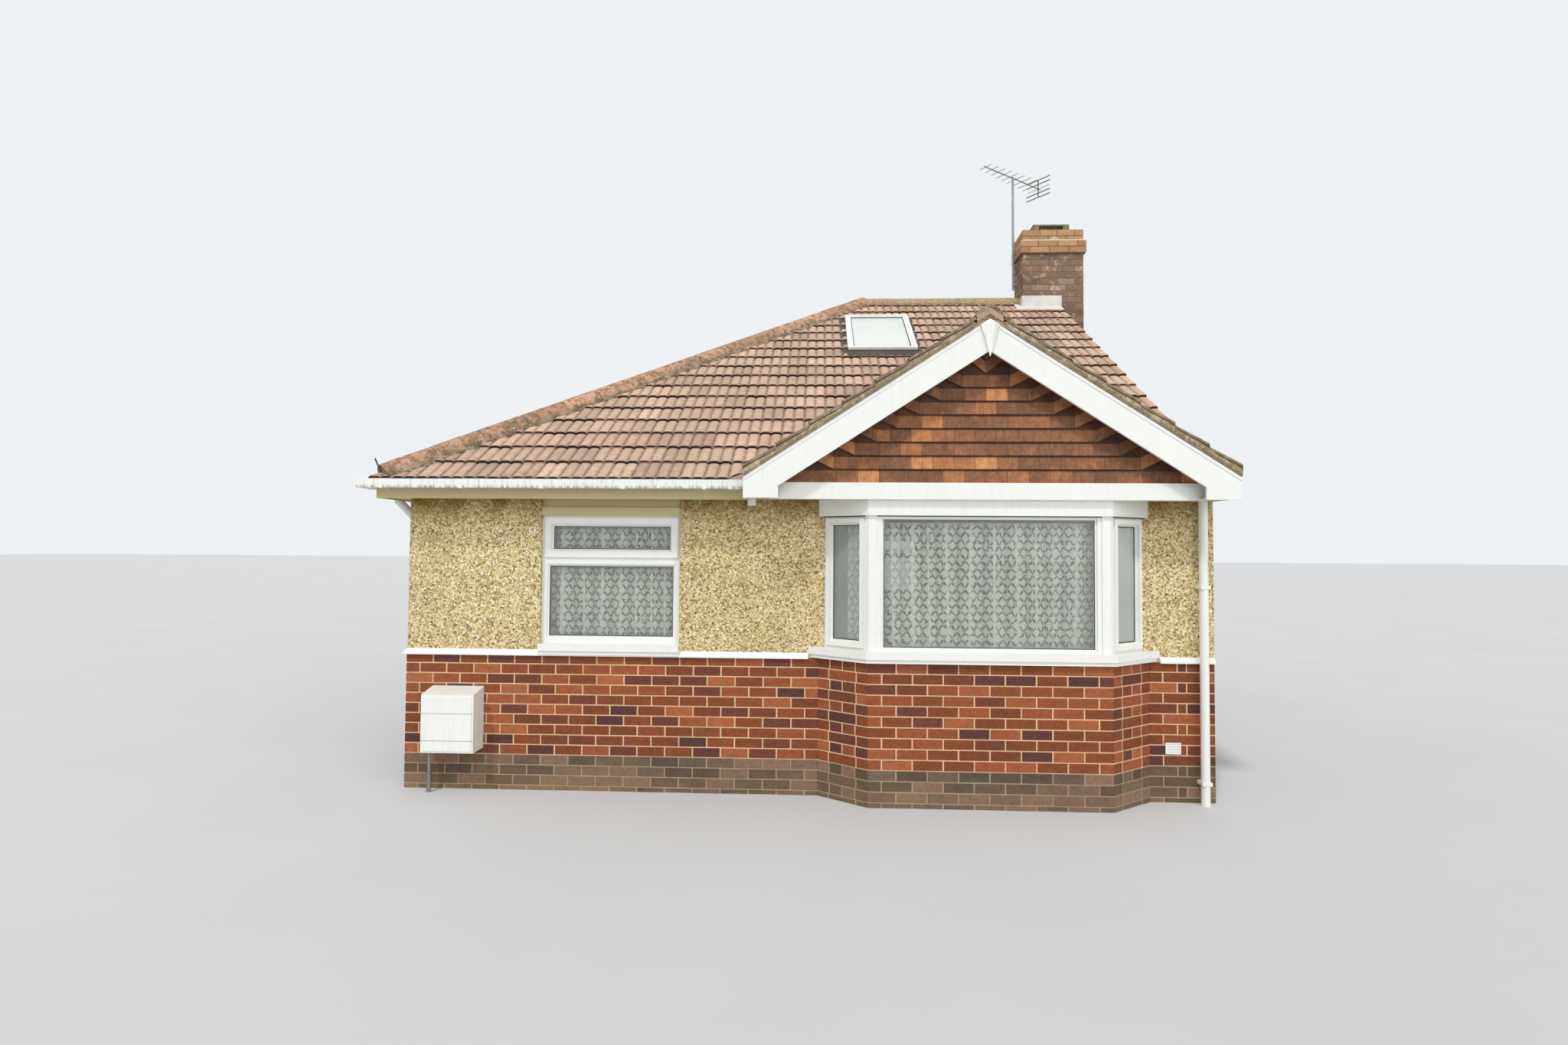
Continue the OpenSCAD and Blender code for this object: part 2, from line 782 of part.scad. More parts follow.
module gable_roof() {
    color(roof_tile) place() intersection() {
        union() {
            translate([0, valley_y, 0]) rotate([90, 0, 0])
                linear_extrude(valley_y + verge_out + board_t) gable_chevron(0, tile_v);
            translate([0, -verge_out + barge_t, 0]) rotate([90, 0, 0])
                linear_extrude(barge_t + verge_bed) gable_chevron(tile_v - cut, verge_drop);
            difference() {
                translate([0, valley_y, 0]) rotate([90, 0, 0])
                    linear_extrude(valley_y + verge_out - barge_t) gable_chevron(tile_v - cut, slab_v);
                gable_cheek(-far, far);
            }
        }
        linear_extrude(far) intersection() {
            gable_plan();
            polygon([[-far, -far], [total_w, -far], [total_w, far], [-far, far]]);
        }
        translate([-far, -far, soffit_z + board_t / 2]) cube([3 * far, 3 * far, far]);
    }
}

// Board that closes the gable's left side under its tiles, between two heights.
module gable_cheek(low, high) {
    box([gable_left - cut / 2, gable_left + board_t], [barge_t - verge_out, board_t - fascia_out], [low, high]);
}

// Half-round tile section seated on two slopes that fall away at the given ratios.
module half_round(left_fall, right_fall, crown) {
    seat = ridge_r - crown;
    difference() {
        translate([0, -seat]) circle(r = ridge_r);
        translate([0, -seat]) circle(r = ridge_r - ridge_t);
        polygon([[0, 0], [far, -far * right_fall], [0, -far], [-far, -far * left_fall]]);
        translate([-ridge_r * 2, -ridge_r * 3 - seat]) square([ridge_r * 4, ridge_r * 3]);
    }
}

module ridge_tiles() {
    fall = tan(main_pitch);
    end = stack_x0 - flashing_t - cut;
    color(hip_tile) place() difference() {
        translate([ridge_x0, half, ridge_z]) rotate([90, 0, 90]) linear_extrude(end - ridge_x0)
            half_round(fall, fall, ridge_crown);
        box([stack_x0 - flashing_w - cut, far], [0, far], [eaves_z, ridge_z + flashing_t + cut]);
    }
}

// Stands its children on the arris of each hip: x up the hip, y across it.
module on_hips() {
    for (m = [0, 1])
        translate([0, half, 0]) mirror([0, m, 0]) intersection() {
            translate([-eaves_out, -half - eaves_out, eaves_z]) rotate([0, -hip_lift, hip_turn])
                children();
            box([-far, far], [-far, 0], [0, far]);
        }
}

module hip_tiles() {
    length = norm([half + eaves_out, hip_run, rise]) + 4 * ridge_r;
    color(hip_tile) place() intersection() {
        on_hips() translate([ridge_r, 0, 0]) rotate([90, 0, 90]) linear_extrude(length)
            half_round(hip_left_fall, hip_front_fall, hip_crown);
        box([-far, ridge_x0 - cut], [-far, far], [0, far]);
    }
}

module hip_irons() {
    color(board_grey) place() on_hips() translate([ridge_r - iron_t, -iron_w / 2, 0])
        cube([iron_t, iron_w, iron_h]);
}

module gable_ridge_tiles() {
    fall = tan(gable_pitch);
    color(hip_tile) place() difference() {
        translate([gable_x, valley_y, gable_apex_z]) rotate([90, 0, 0])
            linear_extrude(valley_y + verge_out + board_t) half_round(fall, fall, gable_crown);
        over_tiles(-far, cut, gable_x - ridge_r * 2, gable_x + ridge_r * 2);
    }
}

module fascias() {
    color(white) place() ring(fascia_in, fascia_out, foot_z, gutter_top, gable_left);
}

module soffits() {
    color(white) place() ring(0, fascia_in, soffit_z, soffit_z + board_t / 2, gable_left);
}

module gutters() {
    low = gutter_top - gutter_h;
    lip = gutter_top + gutter_lip;
    face = fascia_out + gutter_w;
    end = gable_left - gutter_t;
    tails = eaves_z - tile_v - gutter_t;
    color(white) place() {
        ring(fascia_out, face, low, low + gutter_t, end);
        ring(fascia_out, fascia_out + gutter_t, low, gutter_top, end);
        ring(face - gutter_t, face, low, lip, end);
        ring(face - 2 * gutter_t, face, lip - gutter_t, lip, end);
        intersection() {
            run("front", end, 0) polygon([[fascia_out, tails], [fascia_out, low - outlet_proud],
                [face + outlet_proud, low - outlet_proud], [face + outlet_proud, lip],
                [eaves_out + gutter_t, lip], [eaves_out + gutter_t, tails]]);
            rotate([90, 0, 0]) linear_extrude(far) polygon([[end - outlet_w, lip], [end, lip],
                [end - outlet_fall, low - outlet_proud], [end - outlet_w + outlet_fall, low - outlet_proud]]);
        }
    }
}

// Straps under the gutters, at even steps from the left corners.
module gutter_brackets() {
    low = gutter_top - gutter_h;
    ends = [["front", gable_left - outlet_w - bracket_w], ["left", house_depth + fascia_out],
        ["back", total_w]];
    color(white) place() for (e = ends)
        for (i = [0 : floor((e[1] + bracket_in - bracket_w) / bracket_gap)])
            on_side(e[0]) translate([i * bracket_gap - bracket_in, 0, 0]) rotate([90, 0, 90])
                linear_extrude(bracket_w) polygon([[-fascia_out, low], [-fascia_out, low - bracket_t],
                    [-fascia_out - gutter_w - bracket_t, low - bracket_t],
                    [-fascia_out - gutter_w - bracket_t, gutter_top], [-fascia_out - gutter_w, gutter_top],
                    [-fascia_out - gutter_w, low]]);
}

// A straight downpipe with the clips that hold it to the wall.
module upright_pipe(top) {
    back = pipe_r + pipe_gap;
    translate([0, -back, 0]) cylinder(r = pipe_r, h = top);
    for (z = [clip_low, clip_high])
        translate([-pipe_r - clip_t, -back - pipe_r - clip_t, z])
            cube([2 * (pipe_r + clip_t), back + pipe_r + clip_t, clip_h]);
}

// A downpipe with a swan neck that passes under the fascia, from a gutter outlet to the wall.
module downpipe(top, outlet) {
    back = pipe_r + pipe_gap;
    elbow_r = pipe_r + clip_t;
    neck_top = foot_z + outlet - fascia_out - elbow_r * sqrt(2);
    neck_low = neck_top - (outlet - back);
    upright_pipe(neck_low);
    translate([0, -back, neck_low]) sphere(r = elbow_r);
    translate([0, -back, neck_low]) rotate([45, 0, 0])
        cylinder(r = pipe_r, h = (outlet - back) * sqrt(2));
    translate([0, -outlet, neck_top]) sphere(r = elbow_r);
    translate([0, -outlet, neck_top]) cylinder(r = pipe_r, h = top - neck_top);
}

module downpipes() {
    outlet = fascia_out + gutter_w / 2;
    low = gutter_top - gutter_h;
    color(white) place() {
        translate([house_width, 0, 0]) upright_pipe(soffit_z);
        translate([0, wall_t, 0]) rotate([0, 0, -90]) downpipe(low, outlet);
        translate([wall_t, house_depth, 0]) rotate([0, 0, 180]) downpipe(low, outlet);
        translate([gable_left + board_t + pipe_r, -outlet, soffit_z - spout_h])
            cylinder(r = pipe_r, h = spout_h);
    }
}

// Outline of the bargeboards in elevation.
module barge_outline() {
    k = tan(gable_pitch);
    low = foot_z - barge_top;
    inner = foot_w - gable_half;
    translate([gable_x, barge_top]) polygon(across(0, [[-gable_half, -gable_half * k],
        [-gable_half, low], [inner, low], [inner, inner * k - barge_h]], -barge_h));
}

// Strips along the top edges of the bargeboards, clear of the king piece.
module barge_strips() {
    k = tan(gable_pitch);
    for (m = [0, 1])
        translate([gable_x, barge_top - cut]) mirror([m, 0]) polygon([[-king_w / 2, -king_w / 2 * k],
            [cut - gable_half, (cut - gable_half) * k], [cut - gable_half, (cut - gable_half) * k - strip_h],
            [-king_w / 2, -king_w / 2 * k - strip_h]]);
}

module bargeboards() {
    color(white) place() intersection() {
        union() {
            translate([0, -verge_out + barge_t, 0]) rotate([90, 0, 0]) linear_extrude(barge_t)
                barge_outline();
            translate([0, -verge_out, 0]) rotate([90, 0, 0]) linear_extrude(strip_t) barge_strips();
            translate([0, -fascia_in, 0]) rotate([90, 0, 0]) linear_extrude(verge_out - barge_t - fascia_in)
                polygon([[gable_left, foot_z], [gable_left + board_t, foot_z],
                    [gable_left + board_t, gable_foot_z - tile_v], [gable_left, gable_foot_z - tile_v]]);
        }
        clip_party();
    }
}

module king_piece() {
    shoulder = -king_w / 2 * tan(gable_pitch);
    color(white) place() translate([gable_x, -verge_out, barge_top]) rotate([90, 0, 0])
        linear_extrude(board_t - cut)
            polygon([[-king_w / 2, shoulder], [0, 0], [king_w / 2, shoulder], [cut, -king_h],
                [-cut, -king_h]]);
}

// Triangle under the gable's rafters, above a height.
module gable_triangle(low) {
    under = gable_apex_z - slab_v;
    half_low = (under - low) / tan(gable_pitch);
    translate([gable_x, 0]) polygon([[-half_low, low], [half_low, low], [0, under]]);
}

module clip_party() {
    box([-far, total_w], [-far, far], [-far, far]);
}

module tie_board() {
    reach = gable_half - foot_w;
    color(white) place() intersection() {
        box([gable_x - reach, gable_x + reach], [-hang_out - board_t, hang_tail - hang_out],
            [tie_z, hang_z]);
        clip_party();
    }
}

module gable_panel() {
    back = -hang_out + hang_tail + panel_t;
    color(board_grey) place() intersection() {
        translate([0, back, 0]) rotate([90, 0, 0]) linear_extrude(panel_t)
            gable_triangle(soffit_z + board_t / 2);
        box([gable_left + board_t, gable_right], [-far, far], [0, far]);
    }
}

module gable_tiles() {
    count = ceil((gable_apex_z - slab_v - hang_z) / hang_gauge);
    color([0.40, 0.24, 0.17]) place() intersection() {
        union() for (i = [0 : count - 1])
            translate([gable_x - gable_half, -hang_out + hang_tail, hang_z + i * hang_gauge])
                rotate([90, 0, 90]) linear_extrude(2 * gable_half)
                    polygon([[0, 0], [-hang_tail, 0], [-hang_head, hang_gauge], [0, hang_gauge]]);
        translate([0, far, 0]) rotate([90, 0, 0]) linear_extrude(2 * far) gable_triangle(hang_z);
        clip_party();
    }
}

module gable_soffit() {
    color(white) place() {
        low = soffit_z;
        high = soffit_z + board_t / 2;
        box([gable_left, gable_right], [-fascia_in, 0], [low, high]);
        box([gable_left + board_t, gable_right], [hang_tail - hang_out, -fascia_in], [low, high]);
        for (x = [[gable_left + board_t, gable_left + foot_w], [gable_x + gable_half - foot_w, gable_right]])
            box(x, [barge_t - verge_out, hang_tail - hang_out], [low, high]);
    }
}

// A rectangle in elevation, even about the middle.
module pane(half_w, low, high) {
    translate([-half_w, low]) square([2 * half_w, high - low]);
}

// Stands an elevation drawing upright between two distances behind the wall face.
module upright(front, back) {
    translate([0, back, 0]) rotate([90, 0, 0]) linear_extrude(back - front) children();
}

// A ring in elevation of the two drawings handed to it.
module between() {
    difference() {
        children(0);
        children(1);
    }
}

// A framed light in elevation with its sash standing proud, from the middle of its opening.
module framed_light(half_w, low, high, bar, sash, front) {
    lap = bar / 2;
    glass = bar - lap + sash;
    upright(front, front + frame_d) between() {
        pane(half_w, low, high);
        pane(half_w - glass + bead_w, low + glass - bead_w, high - glass + bead_w);
    }
    upright(front - sash_proud, front) between() {
        pane(half_w - bar + lap, low + bar - lap, high - bar + lap);
        pane(half_w - glass + bead_w, low + glass - bead_w, high - glass + bead_w);
    }
    upright(front + bead_set, front + frame_d) between() {
        pane(half_w - glass + bead_w, low + glass - bead_w, high - glass + bead_w);
        pane(half_w - glass, low + glass, high - glass);
    }
}

// A fixed light in elevation, with beads round the glass.
module fixed_light(half_w, low, high, bar, rail, front) {
    upright(front, front + frame_d) between() {
        pane(half_w, low, high);
        pane(half_w - bar, low + rail, high - rail);
    }
    upright(front + bead_set, front + frame_d) between() {
        pane(half_w - bar, low + rail, high - rail);
        pane(half_w - bar - bead_w, low + rail + bead_w, high - rail - bead_w);
    }
}

// Stands its children on each side of the bay, in the middle of its frame and facing out.
module on_bay_sides() {
    on_splays() translate([(post_w + splay_w) / 2, 0, 0]) children();
}

module bay_frames() {
    color(white) place() {
        translate([bay_x, -bay_out, 0])
            fixed_light(front_w / 2, sill_top, head_z, bay_bar, bay_rail, bay_set);
        intersection() {
            on_bay_sides() framed_light(splay_w / 2, sill_top, head_z, frame_w, bay_sash_w, bay_set);
            box([-far, far], [-far, 0], [0, far]);
        }
    }
}

module bay_glass() {
    side = frame_w / 2 + bay_sash_w;
    color(glass_grey) place() {
        translate([bay_x, -bay_out, 0]) upright(bay_set + glass_in, bay_set + glass_in + glass_t)
            pane(front_w / 2 - bay_bar - bead_w, sill_top + bay_rail + bead_w, head_z - bay_rail - bead_w);
        on_bay_sides() upright(bay_set + glass_in, bay_set + glass_in + glass_t)
            pane(splay_w / 2 - side, sill_top + side, head_z - side);
    }
}

module bay_posts() {
    color(white) place() translate([0, 0, sill_top]) linear_extrude(head_z - sill_top) difference() {
        bay_band(bay_set - post_proud, bay_frame_in);
        translate([bay_x - front_w / 2, -far]) square([front_w, 2 * far]);
        for (m = [0, 1])
            translate([bay_x, 0]) mirror([m, 0]) translate([bay_half_front, -bay_out])
                rotate(splay) translate([post_w / 2, -far]) square([far, 2 * far]);
    }
}

module bay_sill() {
    color(white) place() translate([0, 0, brick_h]) {
        linear_extrude(nose_h) bay_band(nose_in - sill_out, bay_frame_in + sill_out);
        translate([0, 0, nose_h]) linear_extrude(sill_h - nose_h)
            bay_band(-sill_out, bay_frame_in + sill_out);
    }
}

module bay_head_boards() {
    color(white) place() translate([0, 0, head_z]) linear_extrude(soffit_z - head_z)
        bay_band(0, bay_frame_in);
}

// Stands its children at each small window: x along the wall, y into the house.
module at_windows() {
    translate([window_x, 0, 0]) children();
    translate([0, side_window_y, 0]) rotate([0, 0, -90]) children();
    for (x = [window_x, back_window_x])
        translate([x, house_depth, 0]) rotate([0, 0, 180]) children();
}

module window_frames() {
    color(white) place() at_windows() {
        fixed_light(window_w / 2, sill_top, transom_z + frame_w, frame_w, frame_w, set_back);
        framed_light(window_w / 2, transom_z + transom_h - frame_w, head_z, frame_w, sash_w, set_back);
    }
}

module window_glass() {
    side = frame_w / 2 + sash_w;
    fixed = frame_w + bead_w;
    color(glass_grey) place() at_windows() upright(set_back + glass_in, set_back + glass_in + glass_t) {
        pane(window_w / 2 - fixed, sill_top + fixed, transom_z - bead_w);
        pane(window_w / 2 - side, transom_z + transom_h - frame_w + side, head_z - side);
    }
}

module sill_space() {
    at_windows() translate([-window_w / 2, -far / 8, brick_h - cut]) cube([window_w, far / 8 + cut, sill_h]);
}

module window_sills() {
    color(white) place() at_windows() {
        translate([-window_w / 2, nose_in - sill_out, brick_h])
            cube([window_w, sill_out - nose_in + wall_t, nose_h]);
        translate([-window_w / 2, -sill_out, brick_h + nose_h])
            cube([window_w, sill_out + wall_t, sill_h - nose_h]);
    }
}

module window_head_boards() {
    deep = soffit_z - head_z;
    color(white) place() at_windows() {
        translate([-window_w / 2, head_in - board_t, head_z])
            cube([window_w, wall_t - head_in + board_t, deep / 2]);
        translate([-window_w / 2, head_in, head_z + deep / 2])
            cube([window_w, wall_t - head_in, deep / 2]);
    }
}

// Stands its children at the side door: x along the wall, y into the house.
module at_door() {
    translate([0, door_y, 0]) rotate([0, 0, -90]) children();
}

module side_door() {
    leaf = set_back + (frame_d - leaf_t) / 2;
    low = step_h + frame_w / 2;
    high = head_z - frame_w;
    edge = door_w / 2 - frame_w;
    color(white) place() at_door() {
        upright(set_back, set_back + frame_d) between() {
            pane(door_w / 2, step_h, head_z);
            pane(edge, low, high);
        }
        upright(leaf, leaf + leaf_t) between() {
            pane(edge, low, high);
            union() {
                pane(edge - stile_w, low + stile_w, rail_z - stile_w / 2);
                pane(edge - stile_w, rail_z + stile_w / 2, high - stile_w);
            }
        }
        upright(leaf + bead_set, leaf + leaf_t - bead_set)
            pane(edge - stile_w, low + stile_w, rail_z - stile_w / 2);
        translate([-door_w / 2, -sill_out, step_h]) cube([door_w, sill_out + set_back, frame_w / 2]);
    }
}

module door_glass() {
    edge = door_w / 2 - frame_w - stile_w;
    color(glass_grey) place() at_door()
        upright(set_back + (frame_d - glass_t) / 2, set_back + (frame_d + glass_t) / 2)
            pane(edge, rail_z + stile_w / 2, head_z - frame_w - stile_w);
}

module door_handle() {
    face = set_back + (frame_d - leaf_t) / 2;
    x = door_w / 2 - frame_w - stile_w / 2;
    color(board_grey) place() at_door() {
        translate([x - plate_w / 2, face - plate_t, rail_z - plate_h / 2]) cube([plate_w, plate_t, plate_h]);
        translate([x, face - lever_out, rail_z]) rotate([-90, 0, 0])
            cylinder(r = lever_r, h = lever_out - plate_t);
        translate([x - lever_l, face - lever_out - lever_r, rail_z - lever_r])
            cube([lever_l + lever_r, 2 * lever_r, 2 * lever_r]);
    }
}

// Local axes on the front slope: x across, y up the slope, z out of the tiles.
module on_slope(x, s) {
    translate([x, -eaves_out, eaves_z]) rotate([main_pitch, 0, 0]) translate([0, s, 0]) children();
}

module rooflight_box(clear, low, high) {
    translate([-rooflight_w / 2 - clear, -clear, low])
        cube([rooflight_w + 2 * clear, rooflight_l + 2 * clear, high - low]);
}

module rooflight_frame() {
    color(board_grey) place() on_slope(rooflight_x, rooflight_s) {
        difference() {
            rooflight_box(0, -tile_t - rafter_t, rooflight_h);
            rooflight_box(-rooflight_f, -far / 8, far / 8);
        }
        translate([0, 0, rooflight_h]) difference() {
            rooflight_box(0, 0, board_t / 2);
            rooflight_box(-rooflight_f / 2, -cut, board_t);
        }
    }
}

module rooflight_flashing() {
    color(board_grey) place() on_slope(rooflight_x, rooflight_s) difference() {
        translate([-rooflight_w / 2 - apron_side, -apron_foot, 0])
            cube([rooflight_w + 2 * apron_side, rooflight_l + apron_foot + apron_side, apron_t]);
        rooflight_box(0, -cut, rooflight_h);
    }
}

module rooflight_pane() {
    color(glass_grey) place() on_slope(rooflight_x, rooflight_s)
        rooflight_box(-rooflight_f, rooflight_h - glass_t - board_t / 2, rooflight_h - board_t / 2);
}

module tv_aerial() {
    x = stack_x0 - mast_gap - mast_r;
    step = (boom_l - 2 * boom_end) / (rod_count - 1);
    color(board_grey) place() {
        translate([x, half, mast_foot_z]) cylinder(r = mast_r, h = mast_top_z - mast_foot_z);
        for (z = [mast_foot_z + bracket_low, mast_foot_z + bracket_high])
            translate([x, half - mast_r / 2, z]) cube([mast_gap + mast_r, mast_r, mast_r * 2]);
        translate([x, half, mast_top_z - mast_r]) rotate([0, 0, boom_turn]) {
            translate([-boom_l / 2, 0, 0]) rotate([0, 90, 0]) cylinder(r = boom_r, h = boom_l);
            for (i = [0 : rod_count - 1])
                translate([boom_end - boom_l / 2 + i * step, 0, 0]) rotate([90, 0, 0])
                    cylinder(r = rod_r, h = rod_l + i * rod_grow, center = true);
            translate([boom_l / 2 - boom_end - boom_r, -boom_r, -reflector_h / 2])
                cube([boom_r, 2 * boom_r, reflector_h]);
            for (z = [-reflector_h / 2, -reflector_h / 4, reflector_h / 4, reflector_h / 2])
                translate([boom_l / 2 - boom_end - boom_r, 0, z]) rotate([90, 0, 0])
                    cylinder(r = boom_r, h = rod_l + rod_count * rod_grow, center = true);
        }
    }
}

module meter_box() {
    color(white) place() translate([meter_x, 0, meter_z]) {
        rotate([90, 0, 90]) linear_extrude(meter_w)
            polygon([[0, 0], [-meter_d, 0], [-meter_d, meter_h - meter_fall], [0, meter_h]]);
        translate([lid_in, -meter_d - lid_t, lid_in])
            cube([meter_w - 2 * lid_in, lid_t, meter_h - meter_fall - 2 * lid_in]);
    }
}

module meter_pipe() {
    color(board_grey) place() translate([meter_x + lid_in + meter_pipe_r, -meter_d / 2, 0]) {
        cylinder(r = meter_pipe_r, h = meter_z);
        cylinder(r = meter_pipe_r + clip_t, h = sleeve_h);
    }
}

module wall_vent() {
    slat = vent_h / (vent_slats * 2 + 1);
    color(white) place() translate([bay_x + bay_half_wall + vent_x, -vent_t, plinth_h + vent_up]) difference() {
        cube([vent_w, vent_t, vent_h]);
        for (i = [0 : vent_slats - 1])
            translate([slat, -cut, (2 * i + 1) * slat]) cube([vent_w - 2 * slat, vent_t / 2 + cut, slat]);
    }
}

module bay_curtains() {
    inside = bay_frame_in + curtain_gap;
    wide = 2 * (bay_half_front - (inside + curtain_t) * tan(splay / 2)) - post_w;
    side = splay_l - (inside + curtain_t) / tan(splay) - post_w;
    tall = head_z - frame_w - sill_top;
    color(lace) place() {
        translate([bay_x - wide / 2, inside - bay_out, sill_top]) cube([wide, curtain_t, tall]);
        on_splays() translate([post_w, inside, sill_top]) cube([side, curtain_t, tall]);
    }
}

module window_curtains() {
    wide = window_w - 2 * curtain_gap;
    color(lace) place() translate([window_x - wide / 2, frame_in + curtain_gap, sill_top])
        cube([wide, curtain_t, head_z - sill_top]);
}

ground_floor();
plinth_courses_dark();
front_base();
left_base();
back_base();
bay_base();
upper_wall("front");  // front_wall
upper_wall("left");  // left_wall
upper_wall("back");  // back_wall
party_wall();
bell_cast_drip();
ceiling();
bay_lintel();
chimney_breast();
chimney_stack();
chimney_head();
chimney_terminal();
chimney_flashing();
roof_front();
roof_left();
roof_back();
gable_roof();
ridge_tiles();
hip_tiles();
gable_ridge_tiles();
hip_irons();
fascias();
soffits();
gutters();
gutter_brackets();
downpipes();
bargeboards();
king_piece();
tie_board();
gable_panel();
gable_tiles();
gable_soffit();
bay_frames();
bay_glass();
bay_posts();
bay_sill();
bay_head_boards();
window_frames();
window_glass();
window_sills();
window_head_boards();
side_door();
door_glass();
door_handle();
rooflight_frame();
rooflight_pane();
rooflight_flashing();
tv_aerial();
meter_box();
meter_pipe();
wall_vent();
bay_curtains();
window_curtains();
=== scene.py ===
"""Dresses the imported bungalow: laid bricks, pebbledash, roof tiles, hung tiles, joinery and nets.

Everything is in metres in the frame's own axes: X along the front, Y into the house, Z up.
"""

import math
import random

import bmesh
import bpy
from bpy.props import FloatProperty, FloatVectorProperty, IntProperty, PointerProperty
from mathutils import Matrix, Vector, noise


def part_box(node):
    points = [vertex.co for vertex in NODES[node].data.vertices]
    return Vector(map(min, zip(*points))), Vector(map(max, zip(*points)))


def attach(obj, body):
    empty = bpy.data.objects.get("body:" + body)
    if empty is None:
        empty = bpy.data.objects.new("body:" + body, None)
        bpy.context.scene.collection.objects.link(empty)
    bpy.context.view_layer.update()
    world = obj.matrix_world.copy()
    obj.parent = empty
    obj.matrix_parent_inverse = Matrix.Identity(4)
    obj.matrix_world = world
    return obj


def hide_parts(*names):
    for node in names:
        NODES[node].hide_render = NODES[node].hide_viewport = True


bl_info = {
    "name": "Bungalow dressing",
    "version": (1, 0, 0),
    "blender": (4, 5, 0),
    "location": "View3D > Sidebar > Bungalow",
    "description": "Lays the bricks and tiles of the bungalow and gives every piece its finish",
    "category": "Object",
}

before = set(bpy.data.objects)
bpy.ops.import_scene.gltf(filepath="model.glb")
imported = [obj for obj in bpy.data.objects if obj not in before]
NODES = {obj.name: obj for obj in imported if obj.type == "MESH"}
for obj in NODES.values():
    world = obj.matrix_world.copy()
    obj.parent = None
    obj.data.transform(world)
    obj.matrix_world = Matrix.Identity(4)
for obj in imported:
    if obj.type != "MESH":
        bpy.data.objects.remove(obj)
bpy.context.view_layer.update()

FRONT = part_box("front_wall")[0].y
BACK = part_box("back_wall")[1].y
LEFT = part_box("left_wall")[0].x
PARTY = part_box("party_wall")[1].x
BRICK_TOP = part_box("front_base")[1].z
PLINTH_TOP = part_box("front_base")[0].z
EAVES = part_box("fascias")[0].z
ALONG, INTO, UP = Vector((1, 0, 0)), Vector((0, 1, 0)), Vector((0, 0, 1))


def linear(rgb):
    """Scene colour of a screen colour written 0 to 255."""
    return tuple((c / 255 / 12.92) if c <= 10 else ((c / 255 + .055) / 1.055) ** 2.4 for c in rgb)


def shade(rgb, amount):
    """A colour made lighter or darker by a share of itself."""
    return tuple(min(1, c * amount) for c in rgb)


def colour(name, description, rgb):
    """A colour for the panel, written 0 to 255."""
    return FloatVectorProperty(name=name, description=description, subtype="COLOR", size=3,
                               min=0, max=1, default=linear(rgb))


def length(name, description, value):
    """A length for the panel."""
    return FloatProperty(name=name, description=description, default=value, unit="LENGTH")


class BrickSizes(bpy.types.PropertyGroup):
    """Sizes of the laid bricks and of the chips in the render."""

    course: length("Course", "Height of one course with its joint", .0825)
    stretcher: length("Stretcher", "Length of a brick", .215)
    header: length("Header", "Width of a brick", .1025)
    joint: length("Joint", "Width of the mortar joints", .010)
    proud: length("Proud", "How far the bricks stand out from the mortar", .004)
    arris: length("Arris", "Worn edge of a brick", .003)
    chip: length("Chip", "Size of the largest chips in the pebbledash", .0105)
    chips: IntProperty(name="Chips", description="Large chips on a square metre of pebbledash",
                       default=900)


class RoofSizes(bpy.types.PropertyGroup):
    """Sizes of the roof and wall tiles."""

    cover: length("Cover", "Width that one roof tile covers", .195)
    gauge: length("Gauge", "Exposed length of a roof tile", .3)
    step: length("Step", "Step from the tail of one course down to the next", .022)
    roll: length("Roll", "Height of the rolls on a roof tile", .011)
    skin: length("Skin", "Distance of the laid tiles over the packed slopes", .0035)
    cap: length("Ridge tile", "Length of one ridge or hip tile", .45)
    cap_radius: length("Ridge radius", "Radius of the ridge and hip tiles", .112)
    cap_thick: length("Ridge thickness", "Wall of the ridge and hip tiles", .016)
    hung_width: length("Hung tile", "Width of a tile hung on the gable", .165)
    hung_gauge: length("Hung gauge", "Exposed height of a tile hung on the gable", .107)
    hung_cut: length("Cut tile", "Length of the slanting tail at each end of a hung course", .17)
    hung_room: length("Room for the cut", "From a course's straight tail to the bargeboard", .205)
    seed: IntProperty(name="Seed", description="Seed of the small differences between units",
                      default=7)


class NetSizes(bpy.types.PropertyGroup):
    """Sizes of the net curtains."""

    fold: length("Fold", "Mean width of one fold", .15)
    depth: length("Depth", "How far a fold stands out on each side", .012)
    lap: length("Lap", "How far a fold laps over the next", .0125)
    mesh: length("Mesh", "Width of one petal of the lace", .068)


class Colours(bpy.types.PropertyGroup):
    """Main colours of the finishes."""

    render: colour("Render", "Stones and cement of the pebbledash", (212, 192, 138))
    brick: colour("Brick", "Face of the red bricks", (139, 77, 49))
    mortar: colour("Mortar", "Sand and lime of the joints", (224, 190, 146))
    plinth: colour("Plinth", "Dark bricks at the foot of the walls", (112, 92, 76))
    tile: colour("Roof tile", "Faded concrete of the roof tiles", (198, 168, 146))
    cap: colour("Ridge tile", "Clay of the ridge and hip tiles", (194, 152, 124))
    hung: colour("Hung tile", "Clay of the tiles on the gable", (136, 94, 68))
    white: colour("White", "Plastic windows, boards and gutters", (233, 234, 229))
    lace: colour("Lace", "Net curtains", (250, 252, 240))
    stack: colour("Stack", "Weathered bricks of the chimney", (138, 114, 94))
    head: colour("Head", "Newer bricks of the chimney's head", (186, 142, 102))


# Finishes


